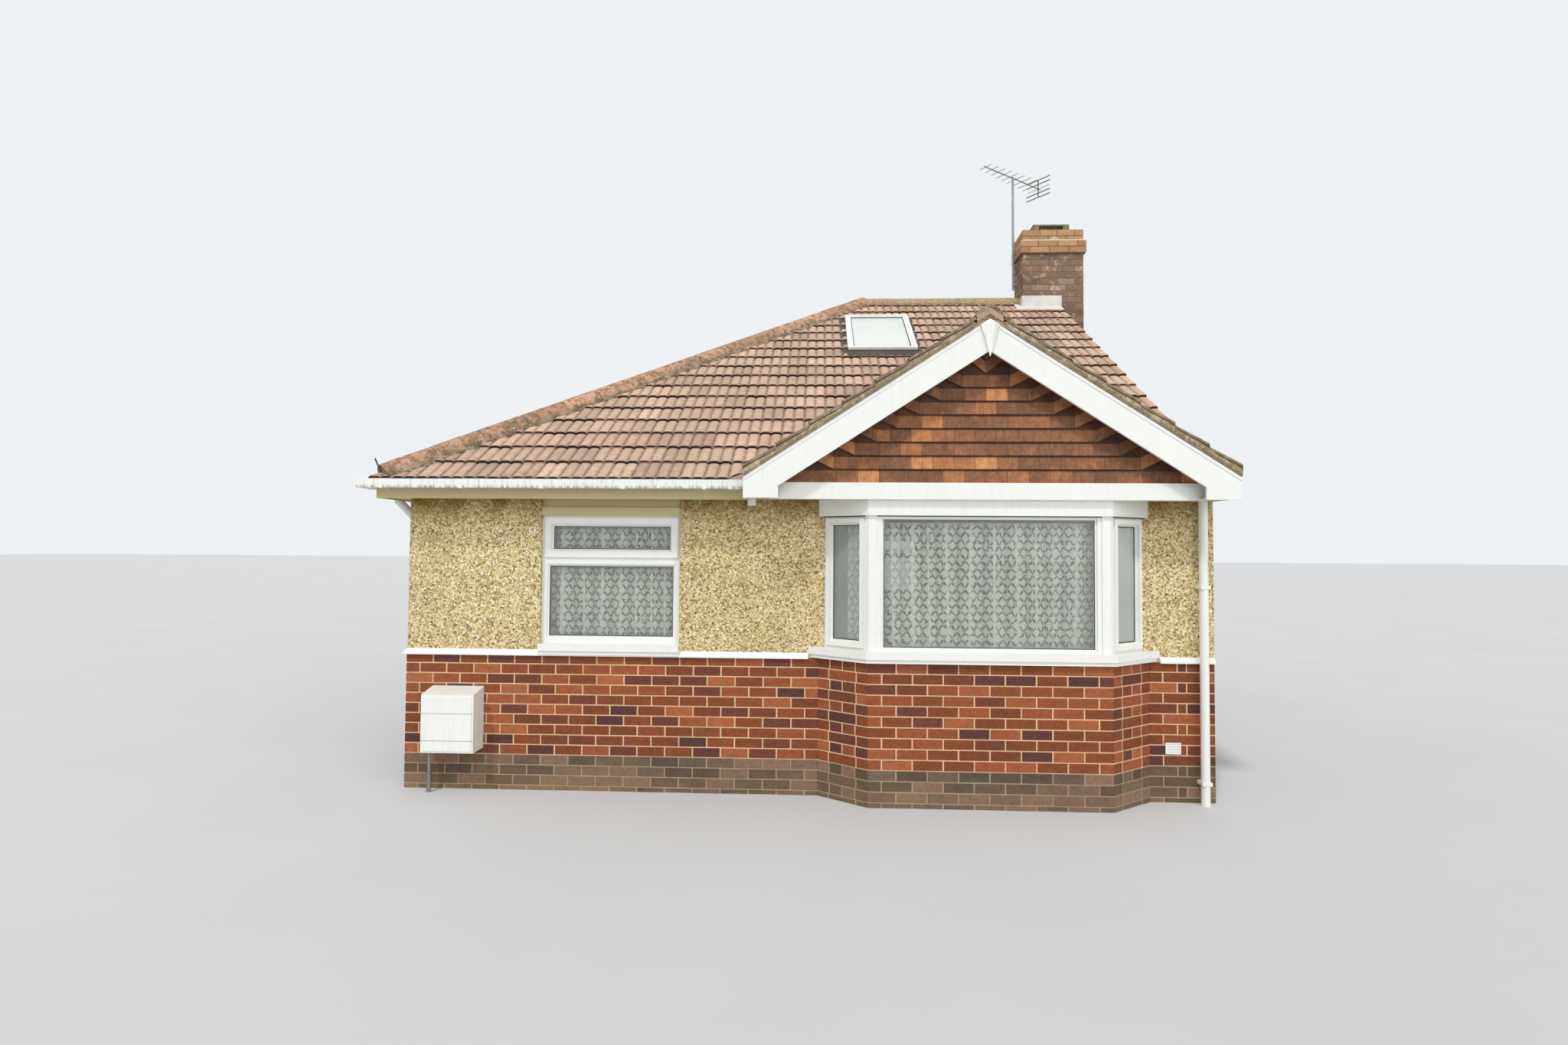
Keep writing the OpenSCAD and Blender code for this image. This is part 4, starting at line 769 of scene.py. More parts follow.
def brick_shaft(name, finish, slot, low, high, rng):
    """Lays bricks round all four faces of a shaft."""
    mesh = Mesh()
    turns = [((low.x, low.y), (1, 0)), ((high.x, low.y), (0, 1)), ((high.x, high.y), (-1, 0)),
             ((low.x, high.y), (0, -1))]
    level = {"top": high.z, "bottom": low.z}
    beside = zip(turns, turns[1:] + turns[:1], turns[-1:] + turns[:-1])
    for (corner, along), (end, _), (_, before) in beside:
        brick_corner(mesh, rng, corner, along, tuple(-a for a in before), **level)
        brick_face(mesh, rng, corner, end, (along[1], -along[0]), ends=("long", "short"), **level)
    return mesh.piece(name, finish, slot)


def bay_outline():
    """Plan of the bay's outer face, from left to right, read from its dwarf wall."""
    low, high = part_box("bay_base")
    near = [v.co for v in NODES["bay_base"].data.vertices if v.co.y < low.y + .002]
    return [(low.x, FRONT), (min(v.x for v in near), low.y), (max(v.x for v in near), low.y),
            (high.x, FRONT)]


class BUNGALOW_OT_bricks(bpy.types.Operator):
    """Lay the bricks of the walls below the pebbledash"""

    bl_idname = "bungalow.bricks"
    bl_label = "Lay the bricks"

    def execute(self, context):
        rng = chance(0)
        door_low, door_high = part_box("side_door")
        door = (BACK - door_high.y, BACK - door_low.y)
        bay = bay_outline()
        for name, finish, slot, top, bottom in (
                ("bricks_red", "brick", "red_brick", BRICK_TOP, PLINTH_TOP),
                ("bricks_dark", "plinth", "dark_brick", PLINTH_TOP, 0.)):
            mesh = Mesh()
            level = {"top": top, "bottom": bottom}
            brick_face(mesh, rng, (LEFT, FRONT), bay[0], (0, -1), ends=("long", "cut"), **level)
            brick_face(mesh, rng, bay[3], (PARTY, FRONT), (0, -1), **level)
            brick_face(mesh, rng, (LEFT, BACK), (LEFT, FRONT), (-1, 0), ends=("long", "short"),
                       gap=(*door, door_high.z), **level)
            brick_face(mesh, rng, (PARTY, BACK), (LEFT, BACK), (0, 1), ends=("cut", "short"), **level)
            brick_corner(mesh, rng, (LEFT, FRONT), (1, 0), (0, 1), **level)
            brick_corner(mesh, rng, (LEFT, BACK), (0, -1), (1, 0), **level)
            lean = context.scene.bungalow_bricks.proud * .33
            for a, b in zip(bay, bay[1:]):
                side = Vector(b) - Vector(a)
                brick_face(mesh, rng, a, b, Vector((side.y, -side.x)).normalized(), lean=lean, **level)
            mesh.piece(name, finish, slot)
        dress(["front_base", "left_base", "back_base", "bay_base"], "mortar")
        dress(["plinth_courses_dark"], "dark_mortar")
        return {"FINISHED"}


# Walls


def dash(name, rng):
    """Scatters the larger chips, each a low pyramid, over the outer faces of a rendered wall."""
    s = bpy.context.scene.bungalow_bricks
    small = .45  # size of the smallest chip, as a share of the largest
    tall = .4  # height of a chip, as a share of its size
    level, wall = .7, .3  # least tilt of a face that isn't upright, and more than a wall's thickness
    points, faces, tones = [], [], []
    for face in NODES[name].data.polygons:
        # Only the outer faces are dashed, and not the one on the party line.
        outward = face.normal
        if outward.dot(Vector((face.center.x, face.center.y, 0))) <= 0 or abs(outward.z) > level:
            continue
        if face.center.x > PARTY - wall and abs(outward.x) > .5:
            continue
        corners = [NODES[name].data.vertices[i].co for i in face.vertices]
        for b, c in zip(corners[1:], corners[2:]):
            a = corners[0]
            area = (b - a).cross(c - a).length / 2
            side = (b - a).normalized()
            other = outward.cross(side)
            for _ in range(int(area * s.chips + rng.random())):
                u, v = rng.random(), rng.random()
                if u + v > 1:
                    u, v = 1 - u, 1 - v
                middle = a + (b - a) * u + (c - a) * v
                size, turn = s.chip * rng.uniform(small, 1), rng.uniform(0, math.pi)
                base = len(points)
                for k in range(4):
                    angle, reach = turn + k * math.pi / 2, size * .5 * rng.uniform(.7, 1.1)
                    points.append(middle + side * math.cos(angle) * reach
                                  + other * math.sin(angle) * reach)
                points.append(middle + outward * size * tall)
                faces += [(base + k, base + (k + 1) % 4, base + 4) for k in range(4)]
                tones += [rng.random()] * 4
    data = bpy.data.meshes.new(f"chips_{name}")
    data.from_pydata(points, [], faces)
    data.attributes.new("tone", "FLOAT", "FACE").data.foreach_set("value", tones)
    settle(f"chips_{name}", data, "chips")


class BUNGALOW_OT_walls(bpy.types.Operator):
    """Finish the rendered walls, the drip, the floor and the party wall"""

    bl_idname = "bungalow.walls"
    bl_label = "Finish the walls"

    def execute(self, context):
        rng = chance(3)
        for name in ("front_wall", "left_wall", "back_wall"):
            dash(name, rng)
        dress(["front_wall", "left_wall", "back_wall"], "render")
        dress(["party_wall", "bay_lintel", "gable_panel", "chimney_breast"], "block")
        dress(["ground_floor"], "screed")
        dress(["ceiling"], "plaster")
        dress(["bell_cast_drip"], "board")
        return {"FINISHED"}


# Roof


def tile_profile(s):
    """Points across one roof tile: distance across, height and how deep the place lies."""
    half = s.cover / 2
    shape = [(0, 0, 1), (.07, .1, .9), (.16, .62, .4), (.27, .94, .05), (.42, 1, 0), (.58, 1, 0),
             (.73, .94, .05), (.84, .6, .4), (.93, .12, .9)]
    points = [(half * (i + u), s.roll * h, d) for i in range(2) for u, h, d in shape]
    lock, deep = .006, -.0025  # width and depth of the open lock beside the next tile
    return points + [(s.cover - lock, 0, 1), (s.cover - lock + .001, deep, 1), (s.cover - .001, deep, 1)]


def rooflight_pane():
    """Lower left corner of the rooflight's pane, its two sides and its normal."""
    data = NODES["rooflight_pane"].data
    top = max(data.polygons, key=lambda p: p.area * (p.normal.z > .5))
    corners = [data.vertices[i].co for i in top.vertices]
    low = min(corners, key=lambda p: (round(p.y, 3), p.x))
    up = max(corners, key=lambda p: (round(p.y, 3), -p.x)) - low
    return low, Vector((max(p.x for p in corners) - low.x, 0, 0)), up, top.normal


def lay_tiles(name, plane, foot, reach, run, clips, rng, hole=()):
    """Covers a slope with courses of rolled tiles from its foot up, cut along its edges and a hole."""
    s = bpy.context.scene.bungalow_tiles
    normal = plane[1]
    level = UP.cross(normal).normalized()
    slope = normal.cross(level).normalized()
    profile = tile_profile(s)
    stepped = math.floor((run - s.cap_radius) / s.gauge)
    nose, edge, lap = .009, .004, .008  # length and height of a worn nose, and lap under the next tile
    mesh = Mesh()
    for k in range(math.ceil(run / s.gauge)):
        fall = s.step if k < stepped else 0.
        foot_drop = s.step - .002 if k <= stepped else edge
        for i in range(math.ceil((reach[1] - reach[0]) / s.cover) + 1):
            u0 = reach[0] + i * s.cover
            lift, slip, tone = rng.uniform(-.0008, .0012), rng.uniform(-.003, .003), rng.random()
            rows = []
            # Distance up the slope, depth below the tile's face and share of the course's fall.
            for along, drop, tilt in ((.001, foot_drop, 0), (-.001, edge, 0), (nose, 0, 0),
                                      (.5 * s.gauge, 0, .5), (s.gauge + lap, 0, 1.)):
                rows.append([])
                for u, h, _ in profile:
                    n = s.skin + h + lift - drop - fall * tilt
                    v = k * s.gauge + along + (slip if tilt < 1 else 0)
                    rows[-1].append(mesh.bm.verts.new(foot + level * (u0 + u) + slope * v + normal * n))
            for r, (low, high) in enumerate(zip(rows, rows[1:])):
                for j in range(len(profile) - 1):
                    # The tail mark paints shade on each tile's end and nose; the hollow mark carries
                    # dirt and painted shade in the channels.
                    mesh.face((low[j], low[j + 1], high[j + 1], high[j]), tone,
                              tail=(1., .95, 0., 0.)[r], hollow=(profile[j][2] + profile[j + 1][2]) / 2)
    for place, outward in clips:
        mesh.cut(place, outward)
    for place, outward in hole:
        mesh.cut(place, outward, clear=False)
    inside = [f for f in mesh.bm.faces if hole and all(
        (f.calc_center_median() - place).dot(outward) < 0 for place, outward in hole)]
    bmesh.ops.delete(mesh.bm, geom=inside, context="FACES")
    return mesh.piece(name, "tile", "concrete_tile", smooth=50)


def between(kept, other):
    """Upright cut where two slopes meet, with the kept slope on the inner side."""
    (p, n), (q, m) = kept, other
    a = Vector((-n.x / n.z + m.x / m.z, -n.y / n.z + m.y / m.z, 0))
    c = (p.z + (p.x * n.x + p.y * n.y) / n.z) - (q.z + (q.x * m.x + q.y * m.y) / m.z)
    return a * (-c / a.length_squared), a


def slopes():
    """The five slopes of the roof: front, back, left and both sides of the gable."""
    return {"front": plane_of("roof_front"), "back": plane_of("roof_back"),
            "left": plane_of("roof_left"), "near": plane_of("gable_roof", -1),
            "far": plane_of("gable_roof", 1)}


def slope_length(normal, across):
    """Length up a slope from its width on plan."""
    return abs(across) / math.sqrt(1 - normal.xy.length_squared)


def gable_middle():
    """Place of the gable's ridge along the front."""
    low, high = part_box("gable_ridge_tiles")
    return (low.x + high.x) / 2


class BUNGALOW_OT_roof_tiles(bpy.types.Operator):
    """Lay the rolled concrete tiles of the roof"""

    bl_idname = "bungalow.roof_tiles"
    bl_label = "Lay the roof tiles"

    def execute(self, context):
        rng = chance(1)
        s = context.scene.bungalow_tiles
        plane = slopes()
        front, back, left = plane["front"], plane["back"], plane["left"]
        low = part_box("roof_front")[0]
        middle = gable_middle()
        party = (ALONG * PARTY, ALONG)

        run = slope_length(front[1], low.y)
        foot = Vector((0, low.y, height(front, 0, low.y)))
        pane, across, up, _ = rooflight_pane()
        past = .04  # how far the opening reaches past the pane, as a share of its sides
        hole = [(pane + side * sign * past + side * max(sign, 0), side * sign)
                for side in (across, up) for sign in (-1, 1)]
        for side, wing in ((-1, plane["near"]), (1, plane["far"])):
            valley, inward = between(front, wing)
            lay_tiles(f"tiles_front_{'left' if side < 0 else 'right'}", front, foot,
                      (low.x, PARTY + s.cover), run,
                      [between(front, left), party, (Vector(), INTO), (valley, -inward),
                       (ALONG * middle, -ALONG * side)], rng, hole if side < 0 else ())
        foot = Vector((0, -low.y, height(back, 0, -low.y)))
        lay_tiles("tiles_back", back, foot, (-PARTY - s.cover, -low.x), run,
                  [between(back, left), party, (Vector(), -INTO)], rng)
        left_low, left_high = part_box("roof_left")
        foot = Vector((left_low.x, 0, height(left, left_low.x, 0)))
        lay_tiles("tiles_left", left, foot, (-left_high.y, left_high.y),
                  slope_length(left[1], left_high.x - left_low.x),
                  [between(left, front), between(left, back)], rng)
        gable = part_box("gable_roof")
        for sign, name in ((-1, "near"), (1, "far")):
            wing = plane[name]
            edge = middle + sign * (middle - gable[0].x)
            foot = Vector((edge, 0, height(wing, edge, 0)))
            valley, inward = between(wing, front)
            reach = sorted((sign * gable[0].y, sign * gable[1].y))
            lay_tiles(f"tiles_gable_{name}", wing, foot, reach, slope_length(wing[1], edge - middle),
                      [(valley, -inward), party, (ALONG * middle, -ALONG * sign),
                       (INTO * gable[0].y, -INTO)], rng)
        dress(["roof_front", "roof_left", "roof_back", "gable_roof"], "tile")
        return {"FINISHED"}


def lay_caps(mesh, bed, rng, start, end, slopes_beside, crown=None, tones=(0, 1)):
    """Lays half-round tiles and their mortar along an arris between two slopes."""
    s = bpy.context.scene.bungalow_tiles
    radius, steps = s.cap_radius, 14
    axis = (end - start).normalized()
    side = axis.cross(UP).normalized()
    up = side.cross(axis).normalized()
    falls = [sign * side.dot(n) / up.dot(n) for sign, (_, n) in zip((1, -1), slopes_beside)]
    if crown is None:
        crown = radius - (radius - s.cap_thick) * min(falls)
    span = (end - start).length
    count = max(1, round(span / s.cap))
    step = span / count
    gap, rim, worn = .004, .012, .002  # half a joint, and length and wear of a tile's rim
    spread, inner = .03, .012  # how far the bedding shows beside the tiles and goes in under them
    grain = .035  # distance between two sections of the bedding

    def at(along, out, high):
        return start + axis * along + side * out + up * high

    def arc(along, r):
        return [at(along, r * math.sin(a), crown - radius + r * math.cos(a))
                for a in (math.pi * (k / steps - .5) for k in range(steps + 1))]

    for i in range(count):
        low, high = i * step + gap, (i + 1) * step - gap
        lift = rng.uniform(-.002, .001)
        rings = []
        for along, r in ((low, radius - worn), (low + rim, radius), ((low + high) / 2, radius + .001),
                         (high - rim, radius), (high, radius - worn)):
            rings.append(arc(along, r + lift) + arc(along, radius - s.cap_thick + lift)[::-1])
        mesh.tube(rings, rng.uniform(*tones))
    bed.tube([arc(along, radius - .006) for along in (.002, span - .002)], .4)
    for sign, fall in zip((1, -1), falls):
        rings = []
        stations = max(2, int(span / grain))
        for j in range(stations + 1):
            along = span * j / stations
            wave = noise.noise(start * 3 + axis * along * 14 + side * sign) * .012
            rough = noise.noise(start * 5 + axis * along * 40 + side * sign) * .006
            edge, foot = radius + rough, radius + spread + wave
            deep, top = -fall * foot, crown - radius + .022 + rough
            # A section runs from under the tile over the bed's shoulder and down into the slope.
            rings.append([at(along, sign * (radius - inner), top),
                          at(along, sign * (edge + .005), top - .006),
                          at(along, sign * (edge + .018 + wave / 2), (top + deep) / 2 + rough),
                          at(along, sign * foot, deep + .016),
                          at(along, sign * (foot + .006), deep - .02),
                          at(along, sign * (radius - inner), deep - .02)])
        bed.tube(rings, .5)


class BUNGALOW_OT_caps(bpy.types.Operator):
    """Lay the ridge, hip and gable ridge tiles on their mortar"""

    bl_idname = "bungalow.caps"
    bl_label = "Lay the ridge and hip tiles"

    def execute(self, context):
        rng = chance(2)
        s = context.scene.bungalow_tiles
        plane = slopes()
        front, back, left = plane["front"], plane["back"], plane["left"]
        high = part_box("ridge_tiles")[1]
        top = height(front, 0, 0)
        # The left slope meets the ridge here.
        turn = left[0].x + (left[0].z - top) * left[1].z / left[1].x - left[0].y * left[1].y / left[1].x
        ridge, bed = Mesh(), Mesh()
        lay_caps(ridge, bed, rng, Vector((turn, 0, top)), Vector((high.x, 0, top)),
                 (front, back), high.z - top)
        ridge.piece("ridge_caps", "ridge", "ridge_tile", 40, ["ridge_tiles"])

        hips = Mesh()
        edge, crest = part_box("roof_front")[0], Vector((turn, 0, top))
        for sign, slope in ((-1, front), (1, back)):
            foot = Vector((edge.x, sign * abs(edge.y), height(front, edge.x, edge.y)))
            start = foot + (crest - foot).normalized() * (s.cap_radius + .002)
            beside = (slope, left) if sign < 0 else (left, slope)
            lay_caps(hips, bed, rng, start, crest, beside)
        hips.piece("hip_caps", "cap", "ridge_tile", 40, ["hip_tiles"])

        gable, middle = Mesh(), gable_middle()
        low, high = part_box("gable_ridge_tiles")
        wing = plane["near"]
        apex = height(wing, middle, 0)
        # The gable's ridge runs into the front slope here.
        meet = front[0].y - (apex - front[0].z) * front[1].z / front[1].y
        lay_caps(gable, bed, rng, Vector((middle, low.y, apex)), Vector((middle, meet, apex)),
                 (plane["far"], plane["near"]), high.z - apex, (0, .6))
        gable.piece("gable_caps", "ridge", "ridge_tile", 40, ["gable_ridge_tiles"])
        bed.piece("cap_bedding", "bedding", "ridge_tile", 50)
        dress(["ridge_tiles", "gable_ridge_tiles", "hip_tiles"], "ridge")
        dress(["hip_irons"], "dark_alloy")
        return {"FINISHED"}


# Gable


BARGE_HIGH = .243  # height of the bargeboards


def lay_verge(mesh, wing, sign, middle, edge, face_y):
    """Tile ends over rough mossy bedding along one slope of the gable."""
    s = bpy.context.scene.bungalow_tiles
    fall = abs(wing[1].x / wing[1].z)
    tilt = math.cos(math.atan(fall))
    apex = height(wing, middle, 0)
    span = abs(edge - middle)
    run = span / tilt
    stepped = math.floor((run - s.cap_radius) / s.gauge)
    stations = []
    for k in range(math.ceil(run / s.gauge)):
        foot = k * s.gauge
        stations += [foot, foot + .004] + [foot + s.gauge * i / 12 for i in range(1, 12)]
    stations = [u for u in stations if u < run - .02] + [run - .01]
    rows = []
    for u in stations:
        x = middle + sign * (span - u * tilt)
        plain_z = apex - fall * abs(x - middle)
        k = int(u / s.gauge)
        drop = s.step * ((u / s.gauge) % 1) if k < stepped else 0.
        if k and u - k * s.gauge < .002:
            drop = s.step
        rough = [noise.noise(Vector((u * 24, i * 3.1 + sign, 7))) * .5 + noise.noise(
            Vector((u * 70, i * 5.3, sign))) * .3 for i in range(5)]
        top = plain_z - drop / tilt
        # Under the end of the ridge tile the bedding stands back.
        under = (s.cap_radius + .004 - abs(x - middle)) / .012
        y = face_y + .018 * min(1, max(0, under))
        # A row runs from the tile's top down its end, and over the bedding to the board.
        rows.append([(face_y + .03, top + .010), (y - .001, top + .011 + rough[0] * .003),
                     (y - .002, top - .008 + rough[0] * .003), (y - .001, top - .013),
                     (y - .0015 - abs(rough[1]) * .003, min(top - .019, plain_z - .026)),
                     (y - .002 - abs(rough[2]) * .005, plain_z - .038 + rough[1] * .006),
                     (y + .002 - abs(rough[3]) * .006, plain_z - .058 + rough[2] * .008),
                     (y + .008 - abs(rough[4]) * .004, plain_z - .078 + rough[4] * .006)])
        rows[-1] = [mesh.bm.verts.new((x, y, z)) for y, z in rows[-1]]
    for a, b in zip(rows, rows[1:]):
        for i in range(len(a) - 1):
            # The tile's end and underside get dark tones and the tail mark: painted shade under the tile
            # ends.
            mesh.face((a[i], a[i + 1], b[i + 1], b[i]), (.2, .25, .1, .1, .6, .75, .5)[i],
                      tail=(.25, .35, 1., 1., .2, 0., .25)[i])


def hung_outline(half, s):
    """Tail line of one hung course: its straight half width, and the slant's run and rise."""
    straight, least = half - s.hung_room, .06
    slant, apex_slant = .48, .8  # rise of the cut tails on their run, and of the two at the apex
    if straight < least:
        return 0., s.hung_cut, s.hung_cut * apex_slant
    return straight, s.hung_cut, s.hung_cut * slant


def hung_course(s, number, z, head, straight, run, rise):
    """Outlines of one course's tiles: whole ones on its straight tail, and a cut one at each end."""
    least, gap = .045, .0008  # width of the narrowest tile, and half a joint
    past = 1.8  # length of a cut tile, as a share of its tail's run, before the slopes trim it
    edges = [-straight]
    x = (math.floor(-straight / s.hung_width) + (number % 2) / 2) * s.hung_width
    while x < straight - least:
        if x > edges[-1] + least:
            edges.append(x)
        x += s.hung_width
    edges.append(straight)
    outlines = [[(a + gap, z), (b - gap, z), (b - gap, head), (a + gap, head)]
                for a, b in zip(edges, edges[1:]) if b - a > .01]
    for sign in (-1, 1) if run else ():
        near, lift = sign * (straight + gap), past * rise
        far = near + sign * past * run
        points = [(near, z), (far, z + lift), (far, head + lift), (near, head)]
        outlines.append(points if sign > 0 else [points[i] for i in (1, 0, 3, 2)])
    return outlines


def hang_tile(mesh, rng, place, tail, slope, outline, gauge):
    """One hung tile over its outline: tail left and right, then head right and left."""
    foot = Vector(outline[0])
    across = (Vector(outline[1]) - foot).normalized()
    across = Vector((-across.y, across.x))
    thick, tip, drop = .011, rng.uniform(-.001, .001), rng.uniform(0, .0012)
    tall = outline[3][1] - outline[0][1]
    tone, rows = rng.random(), []
    # Rows at the tail, at its worn edge, on both sides of the next course's tail and at the head.
    for share in (0, .004 / tall, (gauge - .012) / tall, (gauge + .006) / tall, 1):
        for a, b in ((outline[0], outline[3]), (outline[1], outline[2])):
            spot = Vector(a).lerp(Vector(b), share)
            depth = max(.0015, tail + tip - slope * (spot - foot).dot(across))
            rows.append([place @ Vector((spot.x, -depth, spot.y - drop)),
                         place @ Vector((spot.x, min(.0005, thick - depth), spot.y - drop))])
    rows = [[mesh.bm.verts.new(p) for p in row] for row in rows]
    for k in range(4):
        (a, d), (b, c) = rows[2 * k], rows[2 * k + 1]
        (e, h), (f, g) = rows[2 * k + 2], rows[2 * k + 3]
        # The tail mark paints shade on the tile's lower edge and sides; the hollow mark paints the shade
        # under the next course.
        mesh.face((a, b, f, e), tone, tail=(.45, 0., 0., 0.)[k], hollow=(0., 0., 1., 1.)[k])
        for side in ((b, c, g, f), (c, d, h, g), (d, a, e, h)):
            mesh.face(side, tone, tail=.3)
    mesh.face((rows[0][0], rows[0][1], rows[1][1], rows[1][0]), tone, tail=1.)
    mesh.face((rows[8][0], rows[9][0], rows[9][1], rows[8][1]), tone)


class BUNGALOW_OT_gable(bpy.types.Operator):
    """Hang the gable's tiles and lay its verges"""

    bl_idname = "bungalow.gable"
    bl_label = "Dress the gable"

    def execute(self, context):
        rng = chance(4)
        s = context.scene.bungalow_tiles
        middle = gable_middle()
        wing = plane_of("gable_roof", -1)
        fall = abs(wing[1].x / wing[1].z)
        low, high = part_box("gable_tiles")
        tail, under = high.y - low.y, high.z
        place = Matrix.Translation((middle, high.y, 0))
        thin, long = .006, 2.3  # a tile's depth at the next course's tail, and its length in gauges
        slope = (tail - thin) / s.hung_gauge
        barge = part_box("bargeboards")[1].z - BARGE_HIGH
        mesh = Mesh()
        for i in range(math.ceil((under - low.z) / s.hung_gauge)):
            z = low.z + i * s.hung_gauge
            half = (under - z) / fall
            if half < .03:
                continue
            straight, run, rise = hung_outline((barge - z) / fall, s) if i else (half, 0., 0.)
            head = z + long * s.hung_gauge if straight else under + .02
            for outline in hung_course(s, i, z, head, straight, run, rise):
                hang_tile(mesh, rng, place, tail, slope, outline, s.hung_gauge)
        for sign in (-1, 1):
            mesh.cut((middle, 0, under - .001), (sign * fall, 0, 1))
        mesh.piece("hung_tiles", "hung", "clay_tile", replaces=["gable_tiles"])
        dress(["gable_tiles"], "hung")

        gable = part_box("gable_roof")
        verge = Mesh()
        for sign in (-1, 1):
            edge = middle + sign * (middle - gable[0].x)
            lay_verge(verge, plane_of("gable_roof", sign), sign, middle, edge, gable[0].y)
        verge.cut(ALONG * PARTY, ALONG)
        verge.piece("verge_bedding", "verge", "concrete_tile", 60)
        ends, (low, high) = Mesh(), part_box("tie_board")
        past, sunk = .07, .001  # length of the board's ends, and how far they are sunk in the rest
        y, z = ((low[i] + sunk, high[i] - sunk) for i in (1, 2))
        for x in ((low.x - past, low.x + sunk), (high.x - sunk, high.x + past)):
            ends.block(Matrix(), (x, y, z))
        ends.piece("tie_board_ends", "board", "painted_wood")
        dress(["bargeboards", "tie_board"], "board")
        dress(["king_piece"], "king")
        dress(["gable_soffit"], "shaded")
        return {"FINISHED"}


# Chimney


def lay_fillet(mesh, inner, outer, level, rise):
    """A rough cement fillet that climbs from the rim of the brickwork to what stands on it."""
    rings, steps = [], 12
    for (low, high), inset, up in ((outer, .006, 0), (outer, .008, .004), (inner, -.012, rise),
                                   (inner, .004, rise + .004)):
        x0, x1, y0, y1 = low.x + inset, high.x - inset, low.y + inset, high.y - inset
        corners = [Vector(p) for p in ((x0, y0, 0), (x1, y0, 0), (x1, y1, 0), (x0, y1, 0))]
        rings.append([])
        for a, b in zip(corners, corners[1:] + corners[:1]):
            for k in range(steps):
                spot = a.lerp(b, k / steps)
                spot.z = level + up + noise.noise(spot * 30 + Vector((0, 0, up * 99))) * .003
                rings[-1].append(spot)
    mesh.grid(rings, close=True)


class BUNGALOW_OT_chimney(bpy.types.Operator):
    """Lay the bricks of the stack and its head, and finish the terminal and the aerial"""

    bl_idname = "bungalow.chimney"
    bl_label = "Dress the chimney"

    def execute(self, context):
        rng = chance(5)
        low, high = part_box("chimney_stack")
        brick_shaft("stack_bricks", "stack", "stack_brick", low, high, rng)
        low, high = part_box("chimney_head")
        points = [v.co for v in NODES["chimney_head"].data.vertices]
        ledge = sorted({round(p.z, 4) for p in points})[1]
        top = [p for p in points if p.z > high.z - .001]
        upper_low = Vector((min(p.x for p in top), min(p.y for p in top), ledge))
        upper_high = Vector((max(p.x for p in top), max(p.y for p in top), high.z))
        brick_shaft("head_bricks_low", "head", "head_brick", low, Vector((high.x, high.y, ledge)), rng)
        brick_shaft("head_bricks_high", "head", "head_brick", upper_low, upper_high, rng)

        fillets, upper = Mesh(), (upper_low, upper_high)
        lay_fillet(fillets, upper, (low, high), ledge, .016)
        lay_fillet(fillets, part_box("chimney_terminal"), upper, high.z, .012)
        fillets.piece("head_fillets", "fillet", "head_brick", 60)
        dress(["chimney_stack", "chimney_head"], "stack_mortar")
        dress(["chimney_terminal"], "terminal")
        dress(["chimney_flashing"], "fillet")
        dress(["tv_aerial"], "alloy")
        return {"FINISHED"}


# Windows and nets


def border(x0, x1, z0, z1, width, head=None):
    """The strips inside the edges of a rectangle: its foot, its head and both sides."""
    low, high = z0 + width, z1 - (head or width)
    return (((x0, x1), (z0, low)), ((x0, x1), (high, z1)), ((x0, x0 + width), (low, high)),
            ((x1 - width, x1), (low, high)))


def seal_ring(mesh, plate, inset, width, out):
    """A thin strip round the edge of a pane, on its outer or inner face."""
    y = (-out, .001) if out > 0 else (plate.thick - .001, plate.thick - out)
    for x, z in border(inset, plate.wide - inset, plate.low + inset, plate.high - inset, width):
        mesh.block(plate.place, (x, y, z))


class BUNGALOW_OT_windows(bpy.types.Operator):
    """Finish the windows, the bay and the side door and seal their panes"""

    bl_idname = "bungalow.windows"
    bl_label = "Finish the windows"

    def execute(self, context):
        seals_and_shadow_strips, spacers = Mesh(), Mesh()
        seal, bead, bar = .005, .0025, .006  # a seal's width and height, and a spacer bar's width
        for name in ("bay_glass", "window_glass", "door_glass"):
            for solid in solids(name):
                plate = Plate(solid)
                for out in (bead, -bead):
                    seal_ring(seals_and_shadow_strips, plate, 0., seal, out)
                seal_ring(spacers, plate, seal, bar, .0006)
        # A dark strip at the head of each frame of the bay paints the shadow line under its head board.
        for solid in solids("bay_frames"):
            plate = Plate(solid)
            seals_and_shadow_strips.block(plate.place, ((0, plate.wide), (-.0015, .004),
                                      (plate.high - .008, plate.high - .001)))
        seals_and_shadow_strips.piece("glazing_seals_and_shadow_line", "seal_and_shadow", "white_plastic")
        spacers.piece("glazing_spacers", "spacer", "window_glass")
        dress(["bay_frames", "bay_posts", "bay_sill", "window_frames", "window_sills", "side_door",
               "bay_head_boards"], "white")
        dress(["window_head_boards"], "shaded")
        dress(["bay_glass", "window_glass", "door_glass"], "glass")
        dress(["door_handle"], "alloy")
        return {"FINISHED"}


def fold_phases(wide, count, rng):
    """How far round its folds a net has come at the edge of each of its strips."""
    alike, phase = 12, [0.]  # strips in a row that fold alike
    for i in range(count):
        if i % alike == 0:
            width = bpy.context.scene.bungalow_nets.fold * rng.uniform(.62, 1.5)
        phase.append(phase[-1] + 2 * math.pi * wide / count / width)
    return phase


